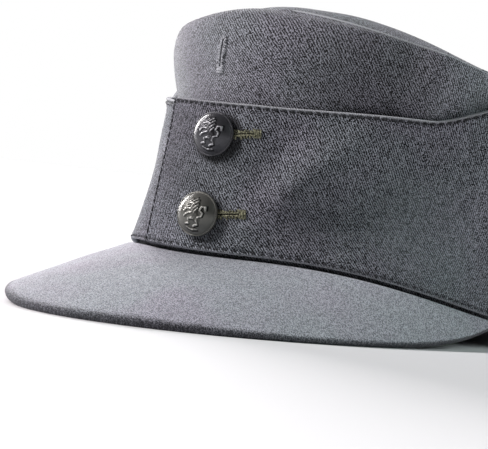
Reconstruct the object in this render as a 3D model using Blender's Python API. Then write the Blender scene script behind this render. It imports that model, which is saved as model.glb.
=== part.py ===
"""Wool field cap with a fold-up flap, two metal buttons and a stiffened cloth peak.

Sizes are in metres. The cap is drawn in its worn frame: x to the wearer's left, y to the
back and z up, with the middle of the crown at x = y = 0 and the front of the rim at z = 0.
An empty then tips it back to the way it rests by itself, on its peak and the back of its rim.
Angles t run round the cap from the front, positive towards the wearer's left.
"""

import math

import bmesh
import bpy
import numpy as np
from mathutils import Matrix, Vector

# Cloth and clearances
CROWN_CLOTH = 0.0018
FLAP_CLOTH = 0.0024
PEAK_THICKNESS = 0.0036
GAP = 0.0003

# Crown, outside
RIM_LENGTH = 0.2030
RIM_WIDTH = 0.1680
CROWN_FRONT = 0.0916
CROWN_BACK = 0.0780
SEAM_SIDE_DIP = 0.0100
SEAM_TWIST = 0.0034
TOP_DOME = 0.0024
TOP_FRONT_PUFF = 0.0200
ROLL_RISE = 0.0007
ROLL_SETBACK = 0.0042
ROLL_FULL = math.radians(12.0)
ROLL_END = math.radians(46.0)
LEDGE_SHARE = 0.35
PANEL_INSET = 0.0002

# Rim line
RIM_ARCH = 0.0028
RIM_TWIST = 0.0018
RIM_SIDE_DROP = 0.0075
RIM_FRONT_RISE = 0.0008
RIM_FRONT_REACH = math.radians(50.0)

# Fold-up flap
FLAP_FRONT = 0.0559
FLAP_SIDE_RISE = 0.0089
FLAP_SCOOP = 0.0098
FLAP_BACK = 0.0600
FLAP_RAISE = 0.0012
FLAP_STANDOFF = 0.0008
FLAP_CORNER = 0.0040
FLAP_CORNER_DROP = 0.0024
FLAP_UNDER_DROP = 0.0012
FLAP_LAP = 0.0243
FLAP_LAP_SLANT = 0.0040
FLAP_UNDERLAP = 0.0140
FLAP_SWELL = 0.0007
SCOOP_START = math.radians(54.5)
SCOOP_FULL = math.radians(74.0)

# Peak
PEAK_LENGTH = 0.0644
PEAK_HALF_WIDTH = 0.0848
PEAK_END_BACK = 0.0270
PEAK_DROP = 0.0252
PEAK_DROOP_LEFT = 0.0091
PEAK_DROOP_RIGHT = 0.0004
PEAK_BULGE = 0.0005

# Buttons and slits
BUTTON_DIAMETER = 0.0160
BUTTON_DOME = 0.0045
BUTTON_RIM = 0.0013
BUTTON_LIFT = 0.0014
BUTTON_RELIEF = 0.0005
BUTTON_DOME_SHARE = 0.93
BUTTON_OFFSET = 0.0065
BUTTON_TURN = math.radians(9.0)
BUTTON_LOW = 0.0149
BUTTON_HIGH = 0.0438
SHANK_DIAMETER = 0.0016
SHANK_CLEARANCE = 0.00045
SLIT_LENGTH = 0.0162
SLIT_RISE = math.radians(6.5)
SLIT_WIDTH = 0.0007
CROWN_SLIT_LENGTH = 0.0108
CROWN_SLIT_HEIGHT = 0.0738
CROWN_SLIT_LEAN = math.radians(7.0)
CROWN_SLIT_OFFSET = -0.0017

# How deep the soft edge is pressed flat where the cap rests
REST_FLATTEN = 0.0008

# Width of the front of the crown at the flap, as a share of the rim's, for places across the front
FRONT_WIDTH_SHARE = 0.93

# Ranges over which one shape runs into the next: angles in radians, or shares of the height
LAP_EASE_START = 0.02
LAP_EASE = 0.22
UNDER_DROP_EASE = 1.00
FOLD_EASE = 0.35
BACK_CALM_START = 2.75
BACK_CALM_END = 3.10
CROWN_FOLD_LOW = (0.64, 0.76)
CROWN_FOLD_HIGH = (0.94, 1.00)

# Share of the flap's stand-off at its lower edge, and the share of it that the lap presses down
STANDOFF_LOW_SHARE = 0.35
LAP_PRESS_SHARE = 0.70

# Powers of the curves of the flap's front edge, the top panel and the peak's fall and ends
LAP_EDGE_POWER = 0.6
PANEL_EDGE_POWER = 3
PANEL_DOME_POWER = 4
PANEL_PUFF_POWER = 1.5
PEAK_FALL_POWER = 0.69
PEAK_END_POWER = 20
PEAK_END_SHARE = 0.985

# How much the crown's oval widens towards the back, and over which span the front's share takes over
BACK_EGG = 0.090
EGG_BLEND = 0.35

# Share of the way up the crown, half width and half length as shares of the rim's, egg share in front
WALL_ROWS = (
    ("rim", 0.00, 1.000, 1.000, 0.066),
    ("low", 0.30, 0.967, 0.996, 0.168),
    ("flap top", 0.58, 0.955, 0.977, 0.163),
    ("above flap", 0.70, 0.964, 0.985, 0.160),
    ("belly", 0.85, 0.985, 1.009, 0.106),
    ("shoulder", 0.96, 0.968, 0.988, 0.016),
    ("crest", 1.00, 0.930, 0.943, 0.075),
    ("seam", 1.00, 0.890, 0.908, 0.080),
)

# Angle in degrees, share of the height, slant in degrees, long and cross size as shares of the
# rim's length, depth as a share of the flap's cloth; a positive depth stands out
FLAP_FOLDS = (
    ("diagonal", 34.0, 0.62, 52.0, 0.190, 0.045, 0.60),
    ("hollow", 40.0, 0.30, 50.0, 0.170, 0.060, -0.30),
    ("side", 66.0, 0.45, 70.0, 0.200, 0.050, 0.35),
    ("far side", -60.0, 0.50, 100.0, 0.220, 0.060, 0.40),
    ("back", 150.0, 0.55, 95.0, 0.200, 0.080, 0.45),
    ("far back", -140.0, 0.50, 85.0, 0.200, 0.080, 0.45),
)

# The same columns, with the depth as a share of the crown's cloth
CROWN_FOLDS = (
    ("temple", 64.0, 0.86, 80.0, 0.110, 0.036, 0.80),
    ("temple hollow", 54.0, 0.84, 80.0, 0.120, 0.040, -0.70),
    ("far temple", -62.0, 0.84, 95.0, 0.120, 0.040, 0.70),
    ("back", 165.0, 0.85, 90.0, 0.120, 0.070, -0.70),
)

# Outer edge of a button from its crest to its back: shares of its radius and of its rim's height
BUTTON_EDGE = (
    ("crest", 0.965, 1.16),
    ("outer upper", 1.00, 0.60),
    ("outer lower", 1.00, 0.20),
    ("back edge", 0.95, 0.00),
)

# Raised figure on a button: part, x, y, half length, half width as shares of the radius, and lean
FIGURE = (
    ("body", 0.02, 0.04, 0.34, 0.17, 58.0),
    ("head", 0.05, 0.50, 0.18, 0.14, 10.0),
    ("upper foreleg", -0.26, 0.36, 0.24, 0.07, 150.0),
    ("lower foreleg", -0.28, 0.10, 0.24, 0.07, 170.0),
    ("front hind leg", -0.16, -0.34, 0.24, 0.08, 60.0),
    ("rear hind leg", 0.12, -0.36, 0.24, 0.08, 110.0),
    ("tail", 0.40, 0.00, 0.26, 0.06, 70.0),
    ("tail tip", 0.44, 0.34, 0.16, 0.07, 120.0),
    ("ground", -0.02, -0.64, 0.36, 0.05, 3.0),
)

# How thick a part of the figure is and how deep its middle sits, as shares of the relief
FIGURE_THICK_SHARE = 1.6
FIGURE_SUNK_SHARE = 0.4

# Foot of the shank inside the button, as a share of the shank, and where it narrows
SHANK_FOOT_SHARE = 1.7
SHANK_TOP_SHARE = 0.6
SHANK_NECK_SHARE = 0.4

# Facets: how many round a piece, and where the rows between the edges stand
ROUND_STEPS = 60
FLAP_STEPS = 38
FLAP_STEP_POWER = 1.12
PEAK_STEPS = 43
PEAK_END_CROWDING = 0.45
BUTTON_STEPS = 20
FIGURE_SIDES = 6
FIGURE_RINGS = 4
DOME_RINGS = 7
SHANK_STEPS = 10
EYE_STEPS = 11
FINE_STEPS = 200
EDGE_ANGLES = np.radians((30.0, 62.0, 90.0))
CROWN_ROWS = (1.0, 2.0, 2.5, 3.0, 3.6, 4.2, 4.8, 5.4, 6.0, 6.5)
PANEL_RINGS = (0.93, 0.82, 0.64, 0.42, 0.20)
FLAP_ROWS = (0.16, 0.38, 0.62, 0.84)
PEAK_ROWS = (0.22, 0.42, 0.63, 0.83)
SHARP_ANGLE = math.radians(50.0)

# How many thicknesses of cloth a slit's cutter reaches each way
CUT_REACH = 3.0

SHOULDER, CREST, SEAM = (
    place for place, row in enumerate(WALL_ROWS) if row[0] in ("shoulder", "crest", "seam")
)

COLOURS = {
    "crown_side": (0.085, 0.092, 0.105),
    "crown_top": (0.085, 0.092, 0.105),
    "flap_left": (0.088, 0.095, 0.108),
    "flap_right": (0.088, 0.095, 0.108),
    "peak": (0.105, 0.110, 0.122),
    "button_upper": (0.130, 0.133, 0.142),
    "button_lower": (0.150, 0.147, 0.135),
}


def smoothstep(low, high, value):
    """Rise smoothly from 0 at low to 1 at high."""
    share = np.clip((value - low) / (high - low), 0.0, 1.0)
    return share * share * (3.0 - 2.0 * share)


def through_rows(places, values, at):
    """Read a smooth curve through the rows of a table, with slopes taken from their neighbours."""
    places = np.asarray(places, float)
    values = np.asarray(values, float)
    slopes = np.gradient(values, places)
    index = np.clip(np.searchsorted(places, at, side="right") - 1, 0, len(places) - 2)
    width = places[index + 1] - places[index]
    u = (at - places[index]) / width
    start = (1 + 2 * u) * (1 - u) ** 2 * values[index]
    end = u * u * (3 - 2 * u) * values[index + 1]
    lean_start = u * (1 - u) ** 2 * width * slopes[index]
    lean_end = u * u * (u - 1) * width * slopes[index + 1]
    return start + end + lean_start + lean_end


def level_rim(t):
    """Height of the rim before its twist: raised in front, arched beside it, dropped at the sides."""
    side = np.where(np.cos(t) > 0.0, np.sin(t) ** 2, 1.0)
    front = 1.0 - smoothstep(0.0, RIM_FRONT_REACH, np.abs(t))
    return 4.0 * RIM_ARCH * side * (1.0 - side) - RIM_SIDE_DROP * side ** 2 + RIM_FRONT_RISE * front


def rim_height(t):
    """Height of the rim, with its slight twist: higher on the wearer's left."""
    return level_rim(t) + RIM_TWIST * np.sin(t)


def seam_height(t):
    """Height of the top seam: high in front, dipping at the sides and lower behind."""
    back = (1.0 - np.cos(t)) / 2.0
    fall = (CROWN_FRONT - CROWN_BACK) * back + SEAM_SIDE_DIP * np.sin(t) ** 2
    return CROWN_FRONT - fall + SEAM_TWIST * np.sin(t)


def front_share(t):
    """1 over the front of the crown, where its cloth rolls over the top, and 0 beyond."""
    return 1.0 - smoothstep(ROLL_FULL, ROLL_END, np.abs(t))


def ledge_share(t):
    """Share of the turned-over width that the side cloth has: 1 in front and less elsewhere."""
    return LEDGE_SHARE + (1.0 - LEDGE_SHARE) * front_share(t)


def oval(t, half_width, half_length, egg):
    """A plan oval, narrower in front by the egg share and wider behind by a fixed one."""
    forward = np.cos(t)
    egg = BACK_EGG + (egg - BACK_EGG) * smoothstep(-EGG_BLEND, EGG_BLEND, forward)
    return half_width * np.sin(t) * (1.0 - egg * forward), -half_length * forward


def wall(t, row):
    """Outside of the crown at angle t and at a place along WALL_ROWS, counted in rows."""
    places = np.arange(len(WALL_ROWS))
    rise, width, length, egg = (
        through_rows(places, [entry[column] for entry in WALL_ROWS], row) for column in (1, 2, 3, 4)
    )
    beyond = row > SHOULDER
    width, length, egg = (
        np.where(beyond, start + (value - start) * ledge_share(t), value)
        for start, value in zip(WALL_ROWS[SHOULDER][2:], (width, length, egg))
    )
    last = smoothstep(SHOULDER, SEAM, row)
    crest = np.clip(1.0 - np.abs(row - CREST), 0.0, 1.0)
    x, y = oval(t, width * RIM_WIDTH / 2, length * RIM_LENGTH / 2, egg)
    y = y + ROLL_SETBACK * last * front_share(t)
    rise = np.where(beyond, 1.0 + (rise - 1.0) * front_share(t), rise)
    z = rim_height(t) + rise * (seam_height(t) - rim_height(t)) + ROLL_RISE * crest * front_share(t)
    return np.stack(np.broadcast_arrays(x, y, z), -1)


def row_at_height(t, z):
    """Place along WALL_ROWS of a height on the upright part of the wall."""
    rise = (z - rim_height(t)) / (seam_height(t) - rim_height(t))
    rises = [entry[1] for entry in WALL_ROWS[: SHOULDER + 1]]
    fine = np.linspace(0.0, SHOULDER, FINE_STEPS)
    return np.interp(rise, through_rows(np.arange(len(rises)), rises, fine), fine)


def fold_height(folds, t, share, unit):
    """Outward push of soft folds: ridges that fade along and across a slanted line."""
    push = np.zeros(np.broadcast(t, share).shape)
    around = RIM_LENGTH / 2.0
    for _, angle, height, slant, long_size, cross_size, depth in folds:
        away = (t - math.radians(angle) + math.pi) % (2.0 * math.pi) - math.pi
        side = away * around
        up = (share - height) * CROWN_FRONT
        along = side * math.cos(math.radians(slant)) + up * math.sin(math.radians(slant))
        across = up * math.cos(math.radians(slant)) - side * math.sin(math.radians(slant))
        fade = (along / (long_size * RIM_LENGTH)) ** 2 + (across / (cross_size * RIM_LENGTH)) ** 2
        push = push + depth * unit * np.exp(-fade)
    return push


def outward(t):
    """Level outward direction at angle t on the crown's oval."""
    x = RIM_LENGTH * np.sin(t)
    y = -RIM_WIDTH * np.cos(t)
    size = np.hypot(x, y)
    return np.stack((x / size, y / size, np.zeros_like(x)), -1)


def normals(grid, closed):
    """Unit normals of a grid, rows up and columns round, pointing out of the cap."""
    up = np.gradient(grid, axis=0)
    if closed:
        round_step = np.roll(grid, -1, axis=1) - np.roll(grid, 1, axis=1)
    else:
        round_step = np.gradient(grid, axis=1)
    cross = np.cross(round_step, up)
    return cross / np.linalg.norm(cross, axis=-1, keepdims=True)


def edge_rows(length, thickness, inner_shares, angles=EDGE_ANGLES):
    """Places along a cloth section and its half thickness there, round at both ends."""
    radius = thickness / 2.0
    start = radius * (math.cos(angles[0]) - np.cos(angles))
    half = radius * np.sin(angles)
    middle = np.asarray(inner_shares) * length
    places = np.concatenate((start, middle, length - start[::-1]))
    return places / length, np.concatenate((half, np.full(len(middle), radius), half[::-1]))


def close_sheet(name, middle, half, closed, front=None):
    """Make a closed solid from a middle surface, its half thickness and a round or open plan.

    The sheet has an outer and an inner skin joined along its edges. A round sheet has no ends.
    """
    way = normals(middle, closed) if front is None else front
    outer = middle + way * half
    inner = middle - way * half
    rows, columns = middle.shape[:2]
    points = rested(np.concatenate((outer.reshape(-1, 3), inner.reshape(-1, 3))))
    index = np.arange(rows * columns).reshape(rows, columns)
    other = index + rows * columns
    faces = []
    last = columns if closed else columns - 1
    for r in range(rows - 1):
        for c in range(last):
            d = (c + 1) % columns
            faces.append((index[r, c], index[r, d], index[r + 1, d], index[r + 1, c]))
            faces.append((other[r, d], other[r, c], other[r + 1, c], other[r + 1, d]))
    for c in range(last):
        d = (c + 1) % columns
        faces.append((index[0, d], index[0, c], other[0, c], other[0, d]))
        faces.append((index[-1, c], index[-1, d], other[-1, d], other[-1, c]))
    if not closed:
        for r in range(rows - 1):
            faces.append((index[r, 0], index[r + 1, 0], other[r + 1, 0], other[r, 0]))
            faces.append((index[r + 1, -1], index[r, -1], other[r, -1], other[r + 1, -1]))
    return new_object(name, points, faces)


def new_object(name, points, faces):
    """Make a mesh object with its own material and hang it on the resting empty."""
    mesh = bpy.data.meshes.new(name)
    mesh.from_pydata([tuple(p) for p in points], [], [tuple(int(i) for i in f) for f in faces])
    mesh.validate()
    obj = bpy.data.objects.new(name, mesh)
    bpy.context.collection.objects.link(obj)
    obj.parent = REST_EMPTY
    if name in COLOURS:
        mesh.materials.append(new_material(name))
    mesh.shade_smooth()
    mesh.set_sharp_from_angle(angle=SHARP_ANGLE)
    return obj


def new_material(name):
    """Plain material of a piece: matt wool, or dull metal for a button."""
    material = bpy.data.materials.new(name)
    material.use_nodes = True
    surface = material.node_tree.nodes["Principled BSDF"]
    metal = name.startswith("button")
    surface.inputs["Base Color"].default_value = (*COLOURS[name], 1.0)
    surface.inputs["Metallic"].default_value = 0.9 if metal else 0.0
    surface.inputs["Roughness"].default_value = 0.45 if metal else 0.9
    return material


def seam_line(t):
    """Outer surface of the crown wall along the top seam."""
    return wall(t, float(SEAM))


def crown_side_middle():
    """Middle surface of the crown's side cloth with its half thickness, from rim to seam."""
    t = np.linspace(-math.pi, math.pi, ROUND_STEPS, endpoint=False)[None, :]
    _, half = edge_rows(CROWN_FRONT, CROWN_CLOTH, CROWN_ROWS, EDGE_ANGLES[1:])
    edge = CROWN_CLOTH / 2.0 * (math.cos(EDGE_ANGLES[1]) - np.cos(EDGE_ANGLES[1:]))
    low = edge / (WALL_ROWS[1][1] * CROWN_FRONT)
    high = edge[::-1] / ((WALL_ROWS[CREST][3] - WALL_ROWS[SEAM][3]) * RIM_LENGTH / 2.0)
    rows = np.concatenate((low, CROWN_ROWS))[:, None] * np.ones_like(t)
    rows = np.concatenate((rows, SEAM - high[:, None] / ledge_share(t)))
    skin = wall(t, rows)
    share = (skin[..., 2] - rim_height(t)) / (seam_height(t) - rim_height(t))
    push = fold_height(CROWN_FOLDS, t, share, CROWN_CLOTH)
    fade = smoothstep(*CROWN_FOLD_LOW, share) * (1.0 - smoothstep(*CROWN_FOLD_HIGH, rows / SEAM))
    skin = skin + outward(t) * (push * fade)[..., None]
    way = normals(skin, True)
    return skin - way * CROWN_CLOTH / 2.0, half[:, None, None], way


def panel_skin(t, reach):
    """Upper skin of the top panel at a share of the way from its middle to the seam."""
    edge = seam_line(t) - outward(t) * (GAP + PANEL_INSET)
    middle_height = (CROWN_FRONT + CROWN_BACK) / 2.0
    slope = (CROWN_BACK - CROWN_FRONT) / RIM_LENGTH
    plane = middle_height + slope * edge[..., 1] * reach
    off_plane = edge[..., 2] - (middle_height + slope * edge[..., 1])
    forward = np.clip(-edge[..., 1] * reach / (RIM_LENGTH / 2.0), 0.0, None)
    dome = (TOP_DOME + TOP_FRONT_PUFF * forward ** PANEL_PUFF_POWER) * (1.0 - reach ** PANEL_DOME_POWER)
    z = plane + off_plane * reach ** PANEL_EDGE_POWER + dome
    return np.stack(np.broadcast_arrays(edge[..., 0] * reach, edge[..., 1] * reach, z), -1)


def make_crown_top():
    """Make the domed top panel, a disc of cloth with a round edge along the seam."""
    t = np.linspace(-math.pi, math.pi, ROUND_STEPS, endpoint=False)[None, :]
    angles = EDGE_ANGLES[1:]
    start = CROWN_CLOTH * (math.cos(angles[0]) - np.cos(angles)) / RIM_WIDTH
    reach = np.concatenate((1.0 - start, PANEL_RINGS))[:, None]
    half = CROWN_CLOTH / 2.0 * np.concatenate((np.sin(angles), np.ones(len(PANEL_RINGS))))
    skin = panel_skin(t, reach)
    way = normals(skin, True)
    way[: len(angles)] = way[len(angles)]
    middle = skin - way * CROWN_CLOTH / 2.0
    outer = middle + way * half[:, None, None]
    inner = middle - way * half[:, None, None]
    centre = panel_skin(np.array([[0.0]]), np.array([[0.0]]))[0, 0]
    below = centre - np.array((0.0, 0.0, CROWN_CLOTH))
    rows, columns = skin.shape[:2]
    points = np.concatenate((outer.reshape(-1, 3), inner.reshape(-1, 3), [centre, below]))
    index = np.arange(rows * columns).reshape(rows, columns)
    other = index + rows * columns
    top, bottom = 2 * rows * columns, 2 * rows * columns + 1
    faces = []
    for c in range(columns):
        d = (c + 1) % columns
        for r in range(rows - 1):
            faces.append((index[r, c], index[r, d], index[r + 1, d], index[r + 1, c]))
            faces.append((other[r, d], other[r, c], other[r + 1, c], other[r + 1, d]))
        faces.append((index[-1, c], index[-1, d], top))
        faces.append((other[-1, d], other[-1, c], bottom))
        faces.append((index[0, d], index[0, c], other[0, c], other[0, d]))
    return new_object("crown_top", rested(points), faces)


def flap_top_height(t):
    """Height of the flap's upper edge: level in front, scooped up to the sides, lower behind."""
    side = np.sin(t) ** 2
    scoop = FLAP_SCOOP * smoothstep(SCOOP_START, SCOOP_FULL, np.abs(t))
    forward = FLAP_FRONT + FLAP_SIDE_RISE * side + scoop
    behind = FLAP_BACK + (FLAP_FRONT + FLAP_SIDE_RISE + FLAP_SCOOP - FLAP_BACK) * side
    return np.where(np.cos(t) > 0.0, forward, behind)


def angle_of_width(x):
    """Angle round the front at a distance x to the wearer's left of the middle."""
    return np.arcsin(np.asarray(x) / (RIM_WIDTH / 2.0 * FRONT_WIDTH_SHARE))


def flap_offset(side, t, share):
    """How far the middle of a flap's cloth stands off the crown at angle t and a share of its height."""
    lap = angle_of_width(FLAP_LAP)
    under = angle_of_width(FLAP_UNDERLAP)
    stand = FLAP_STANDOFF * (STANDOFF_LOW_SHARE + (1.0 - STANDOFF_LOW_SHARE) * share)
    if side > 0:
        start = under + LAP_EASE_START
        over = 1.0 - smoothstep(start, start + LAP_EASE, t)
        layer = (FLAP_CLOTH + GAP) * over
    else:
        over = 1.0 - smoothstep(lap, lap + LAP_EASE, -t)
        layer = -LAP_PRESS_SHARE * stand * over
    push = fold_height(FLAP_FOLDS, t, share, FLAP_CLOTH) + FLAP_SWELL
    calm_front = smoothstep(under, under + FOLD_EASE, np.abs(t))
    calm_back = 1.0 - smoothstep(BACK_CALM_START, BACK_CALM_END, np.abs(t))
    return GAP + FLAP_CLOTH / 2.0 + stand + layer + push * calm_front * calm_back


def flap_grid(side):
    """Middle surface of one flap with its half thickness, for side +1 (left) or -1 (right)."""
    seam = math.pi - GAP / RIM_WIDTH
    height = FLAP_FRONT - FLAP_RAISE
    shares, half = edge_rows(height, FLAP_CLOTH, FLAP_ROWS)
    share = shares[:, None]
    lap = angle_of_width(FLAP_LAP)
    under = angle_of_width(FLAP_UNDERLAP)
    if side > 0:
        end = -angle_of_width(FLAP_LAP + FLAP_LAP_SLANT * (share ** LAP_EDGE_POWER - 1.0))
    else:
        end = np.full(share.shape, -under)
    t = end + (seam - end) * np.linspace(0.0, 1.0, FLAP_STEPS)[None, :] ** FLAP_STEP_POWER
    if side > 0:
        corner = np.clip(1.0 - (t - end) * RIM_WIDTH / 2.0 / FLAP_CORNER, 0.0, 1.0)
        drop = FLAP_CORNER_DROP * (1.0 - np.sqrt(1.0 - corner ** 2))
    else:
        drop = FLAP_UNDER_DROP * (1.0 - smoothstep(lap, lap + UNDER_DROP_EASE, t))
    t = t * side
    bottom = rim_height(t) + FLAP_RAISE
    z = bottom + share * (flap_top_height(t) - drop - bottom)
    base = wall(t, row_at_height(t, z))
    base[..., 2] = z
    way = outward(t)
    middle = base + way * flap_offset(side, t, share)[..., None]
    if side < 0:
        middle = middle[:, ::-1]
        way = way[:, ::-1]
    return middle, half[:, None, None], way


def peak_end():
    """Angle round the rim at which the peak ends, on each side."""
    return math.acos(PEAK_END_BACK / (RIM_LENGTH / 2.0))


def peak_edge(share):
    """Outer edge of the peak, middle of its thickness, for a share from -1 to 1 across it."""
    turn = share * math.pi / 2.0
    x = PEAK_HALF_WIDTH * np.sin(turn)
    y = -PEAK_END_BACK - (RIM_LENGTH / 2.0 + PEAK_LENGTH - PEAK_END_BACK) * np.cos(turn)
    toward_front = np.clip(np.cos(turn), 0.0, 1.0)
    droop = np.where(share > 0.0, PEAK_DROOP_LEFT, PEAK_DROOP_RIGHT)
    fall = (PEAK_DROP + droop * np.sin(turn) ** 2) * toward_front ** PEAK_FALL_POWER
    twist = RIM_TWIST * x / (RIM_WIDTH / 2.0)
    z = level_rim(share * peak_end()) + twist - PEAK_THICKNESS / 2.0 - fall
    return np.stack((x, y, z), -1)


def peak_grid():
    """Middle surface of the peak: a level tuck under the rim, then a bulged slope to its edge."""
    step = np.linspace(-1.0, 1.0, PEAK_STEPS)[None, :]
    share = step + PEAK_END_CROWDING * (np.sin(step * math.pi / 2.0) - step)
    t = share * peak_end()
    root = wall(t, 0.0)
    root[..., 2] = rim_height(t) - GAP - PEAK_THICKNESS / 2.0
    inner = root - outward(t) * CROWN_CLOTH
    outer = root + outward(t) * (GAP + FLAP_CLOTH + FLAP_STANDOFF)
    taper = np.sqrt(1.0 - np.abs(share) ** PEAK_END_POWER * PEAK_END_SHARE)[..., None]
    edge = outer + (peak_edge(share) - outer) * taper
    tuck = (CROWN_CLOTH + GAP + FLAP_CLOTH + FLAP_STANDOFF) / PEAK_LENGTH
    places, half = edge_rows(PEAK_LENGTH, PEAK_THICKNESS, (tuck, *PEAK_ROWS))
    place = places[:, None, None]
    level = np.clip(place / tuck, 0.0, 1.0)
    slope = np.clip((place - tuck) / (1.0 - tuck), 0.0, 1.0)
    bulge = PEAK_BULGE * np.cos(share * math.pi / 2.0)[..., None] * 4.0 * slope * (1.0 - slope)
    middle = inner + (outer - inner) * level + (edge - outer) * slope
    return middle + bulge * np.array((0.0, 0.0, 1.0)), half[:, None, None]


def rested(points):
    """Press points that would lie below the table flat onto it, in the resting pose."""
    world = points @ REST_TURN.T + REST_SHIFT
    world[:, 2] = np.maximum(world[:, 2], 0.0)
    return (world - REST_SHIFT) @ REST_TURN


def rest_turn(angle):
    """Rotation matrix that levels the rim's twist and then tips the cap back by an angle."""
    c, s = math.cos(angle), math.sin(angle)
    tip = np.array(((1.0, 0.0, 0.0), (0.0, c, s), (0.0, -s, c)))
    roll = math.atan(RIM_TWIST / (RIM_WIDTH / 2.0))
    c, s = math.cos(roll), math.sin(roll)
    return tip @ np.array(((c, 0.0, s), (0.0, 1.0, 0.0), (-s, 0.0, c)))


def both_skins(middle, half, way):
    """Points of the outer and the inner skin of a sheet."""
    return np.concatenate(((middle + way * half).reshape(-1, 3), (middle - way * half).reshape(-1, 3)))


def find_rest():
    """Find how far the cap tips back to stand on its peak's edge and the back of its rim.

    Returns the rotation and the shift that put its lowest points just under the table by the
    depth that is pressed flat, with the middle of its outline at x = y = 0.
    """
    middle, half = peak_grid()
    front = both_skins(middle, half, normals(middle, False))
    back = both_skins(*crown_side_middle())
    back = back[back[:, 1] > 0.0]
    flaps = np.concatenate([both_skins(*flap_grid(side)) for side in (1, -1)])
    angle = 0.0
    for _ in range(12):
        turned_front = front @ rest_turn(angle).T
        turned_back = back @ rest_turn(angle).T
        low_front = turned_front[np.argmin(turned_front[:, 2])]
        low_back = turned_back[np.argmin(turned_back[:, 2])]
        angle += math.atan2(low_back[2] - low_front[2], low_back[1] - low_front[1])
    turn = rest_turn(angle)
    everything = np.concatenate((front, back, flaps)) @ turn.T
    low = (front @ turn.T)[:, 2].min()
    plan_middle = (everything[:, :2].min(axis=0) + everything[:, :2].max(axis=0)) / 2.0
    return turn, np.array((-plan_middle[0], -plan_middle[1], -REST_FLATTEN - low))


def surface_frame(point, way, spin):
    """Placement with its z axis along way, its x axis level and turned by spin about upright."""
    z = Vector(way).normalized()
    z.rotate(Matrix.Rotation(spin, 3, "Z"))
    x = Vector((0.0, 0.0, 1.0)).cross(z).normalized()
    y = z.cross(x)
    frame = Matrix((x, y, z)).transposed().to_4x4()
    frame.translation = Vector(point)
    return frame


def flap_face(x, z):
    """Outer face of the left flap in front at a place x and height z, with its outward way."""
    t = angle_of_width(x)
    bottom = rim_height(t) + FLAP_RAISE
    share = (z - bottom) / (flap_top_height(t) - bottom)
    base = wall(t, row_at_height(t, z))
    base[2] = z
    way = outward(t)
    return base + way * (flap_offset(1, t, share) + FLAP_CLOTH / 2.0), way


def ring_points(profile, steps):
    """Points of a turned profile, a ring of points for each pair of radius and height."""
    turn = np.linspace(0.0, 2.0 * math.pi, steps, endpoint=False)
    return [[(r * math.cos(a), r * math.sin(a), z) for a in turn] for r, z in profile]


def turned(name, profile, steps):
    """Solid of revolution with its closed ends on the axis; the profile runs from top to bottom."""
    rings = ring_points(profile[1:-1], steps)
    points = [(0.0, 0.0, profile[0][1])]
    for ring in rings:
        points.extend(ring)
    points.append((0.0, 0.0, profile[-1][1]))
    faces = []
    for a in range(steps):
        b = (a + 1) % steps
        faces.append((0, 1 + a, 1 + b))
        for r in range(len(rings) - 1):
            low, high = 1 + r * steps, 1 + (r + 1) * steps
            faces.append((low + a, high + a, high + b, low + b))
        last = 1 + (len(rings) - 1) * steps
        faces.append((len(points) - 1, last + b, last + a))
    return new_object(name, points, faces)


def shank_profile():
    """Radius and height of the shank, from inside the button down to the cloth it is sewn to."""
    shank = SHANK_DIAMETER / 2.0
    foot = shank * SHANK_FOOT_SHARE
    top = BUTTON_LIFT + BUTTON_RIM * SHANK_TOP_SHARE
    neck = BUTTON_LIFT * SHANK_NECK_SHARE
    return [(0.0, top), (foot, top), (shank, neck), (shank, -FLAP_CLOTH), (0.0, -FLAP_CLOTH)]


def make_button(name, height):
    """Make a domed button with a rim, a raised figure and a shank, set over its slit."""
    radius = BUTTON_DIAMETER / 2.0
    point, way = flap_face(BUTTON_OFFSET, height)
    dome_radius = radius * BUTTON_DOME_SHARE
    sphere = (dome_radius ** 2 + BUTTON_DOME ** 2) / (2.0 * BUTTON_DOME)
    top = BUTTON_RIM + BUTTON_DOME
    arc = np.linspace(0.0, math.asin(dome_radius / sphere), DOME_RINGS)
    dome = [(sphere * math.sin(a), top - sphere * (1.0 - math.cos(a))) for a in arc]
    edge = [(radius * out, BUTTON_RIM * rise) for _, out, rise in BUTTON_EDGE]
    button = turned(name, dome + edge + [(0.0, 0.0)], BUTTON_STEPS)
    frame = surface_frame(point + way * BUTTON_LIFT, way, BUTTON_TURN)
    button.matrix_local = frame
    shank = turned(name + "_shank", shank_profile(), SHANK_STEPS)
    shank.matrix_local = surface_frame(point, way, 0.0)
    add_boolean(button, shank, "UNION")
    for part, x, y, long_half, wide_half, lean in FIGURE:
        place = Vector((x * radius, y * radius))
        drop = sphere - math.sqrt(sphere ** 2 - place.length_squared)
        out = Vector((place.x, place.y, sphere - drop)).normalized()
        size = (long_half * radius, wide_half * radius, BUTTON_RELIEF * FIGURE_THICK_SHARE, 1.0)
        tip = Vector((0.0, 0.0, 1.0)).rotation_difference(out).to_matrix().to_4x4()
        lean_turn = Matrix.Rotation(math.radians(lean), 4, "Z")
        spot = Matrix.Translation((place.x, place.y, top - drop - BUTTON_RELIEF * FIGURE_SUNK_SHARE))
        bm = bmesh.new()
        bmesh.ops.create_uvsphere(bm, u_segments=FIGURE_SIDES, v_segments=FIGURE_RINGS, radius=1.0)
        bmesh.ops.transform(bm, matrix=spot @ tip @ lean_turn @ Matrix.Diagonal(size), verts=bm.verts)
        mesh = bpy.data.meshes.new(name + "_" + part.replace(" ", "_"))
        bm.to_mesh(mesh)
        bm.free()
        relief = bpy.data.objects.new(mesh.name, mesh)
        bpy.context.collection.objects.link(relief)
        relief.parent = REST_EMPTY
        relief.matrix_local = frame
        add_boolean(button, relief, "UNION")


def add_boolean(target, cutter, operation):
    """Join or cut with another solid, which is left out of the finished part."""
    cutter.hide_render = True
    cutter.display_type = "WIRE"
    step = target.modifiers.new(operation.lower(), "BOOLEAN")
    step.operation = operation
    step.solver = "EXACT"
    step.object = cutter


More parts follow.
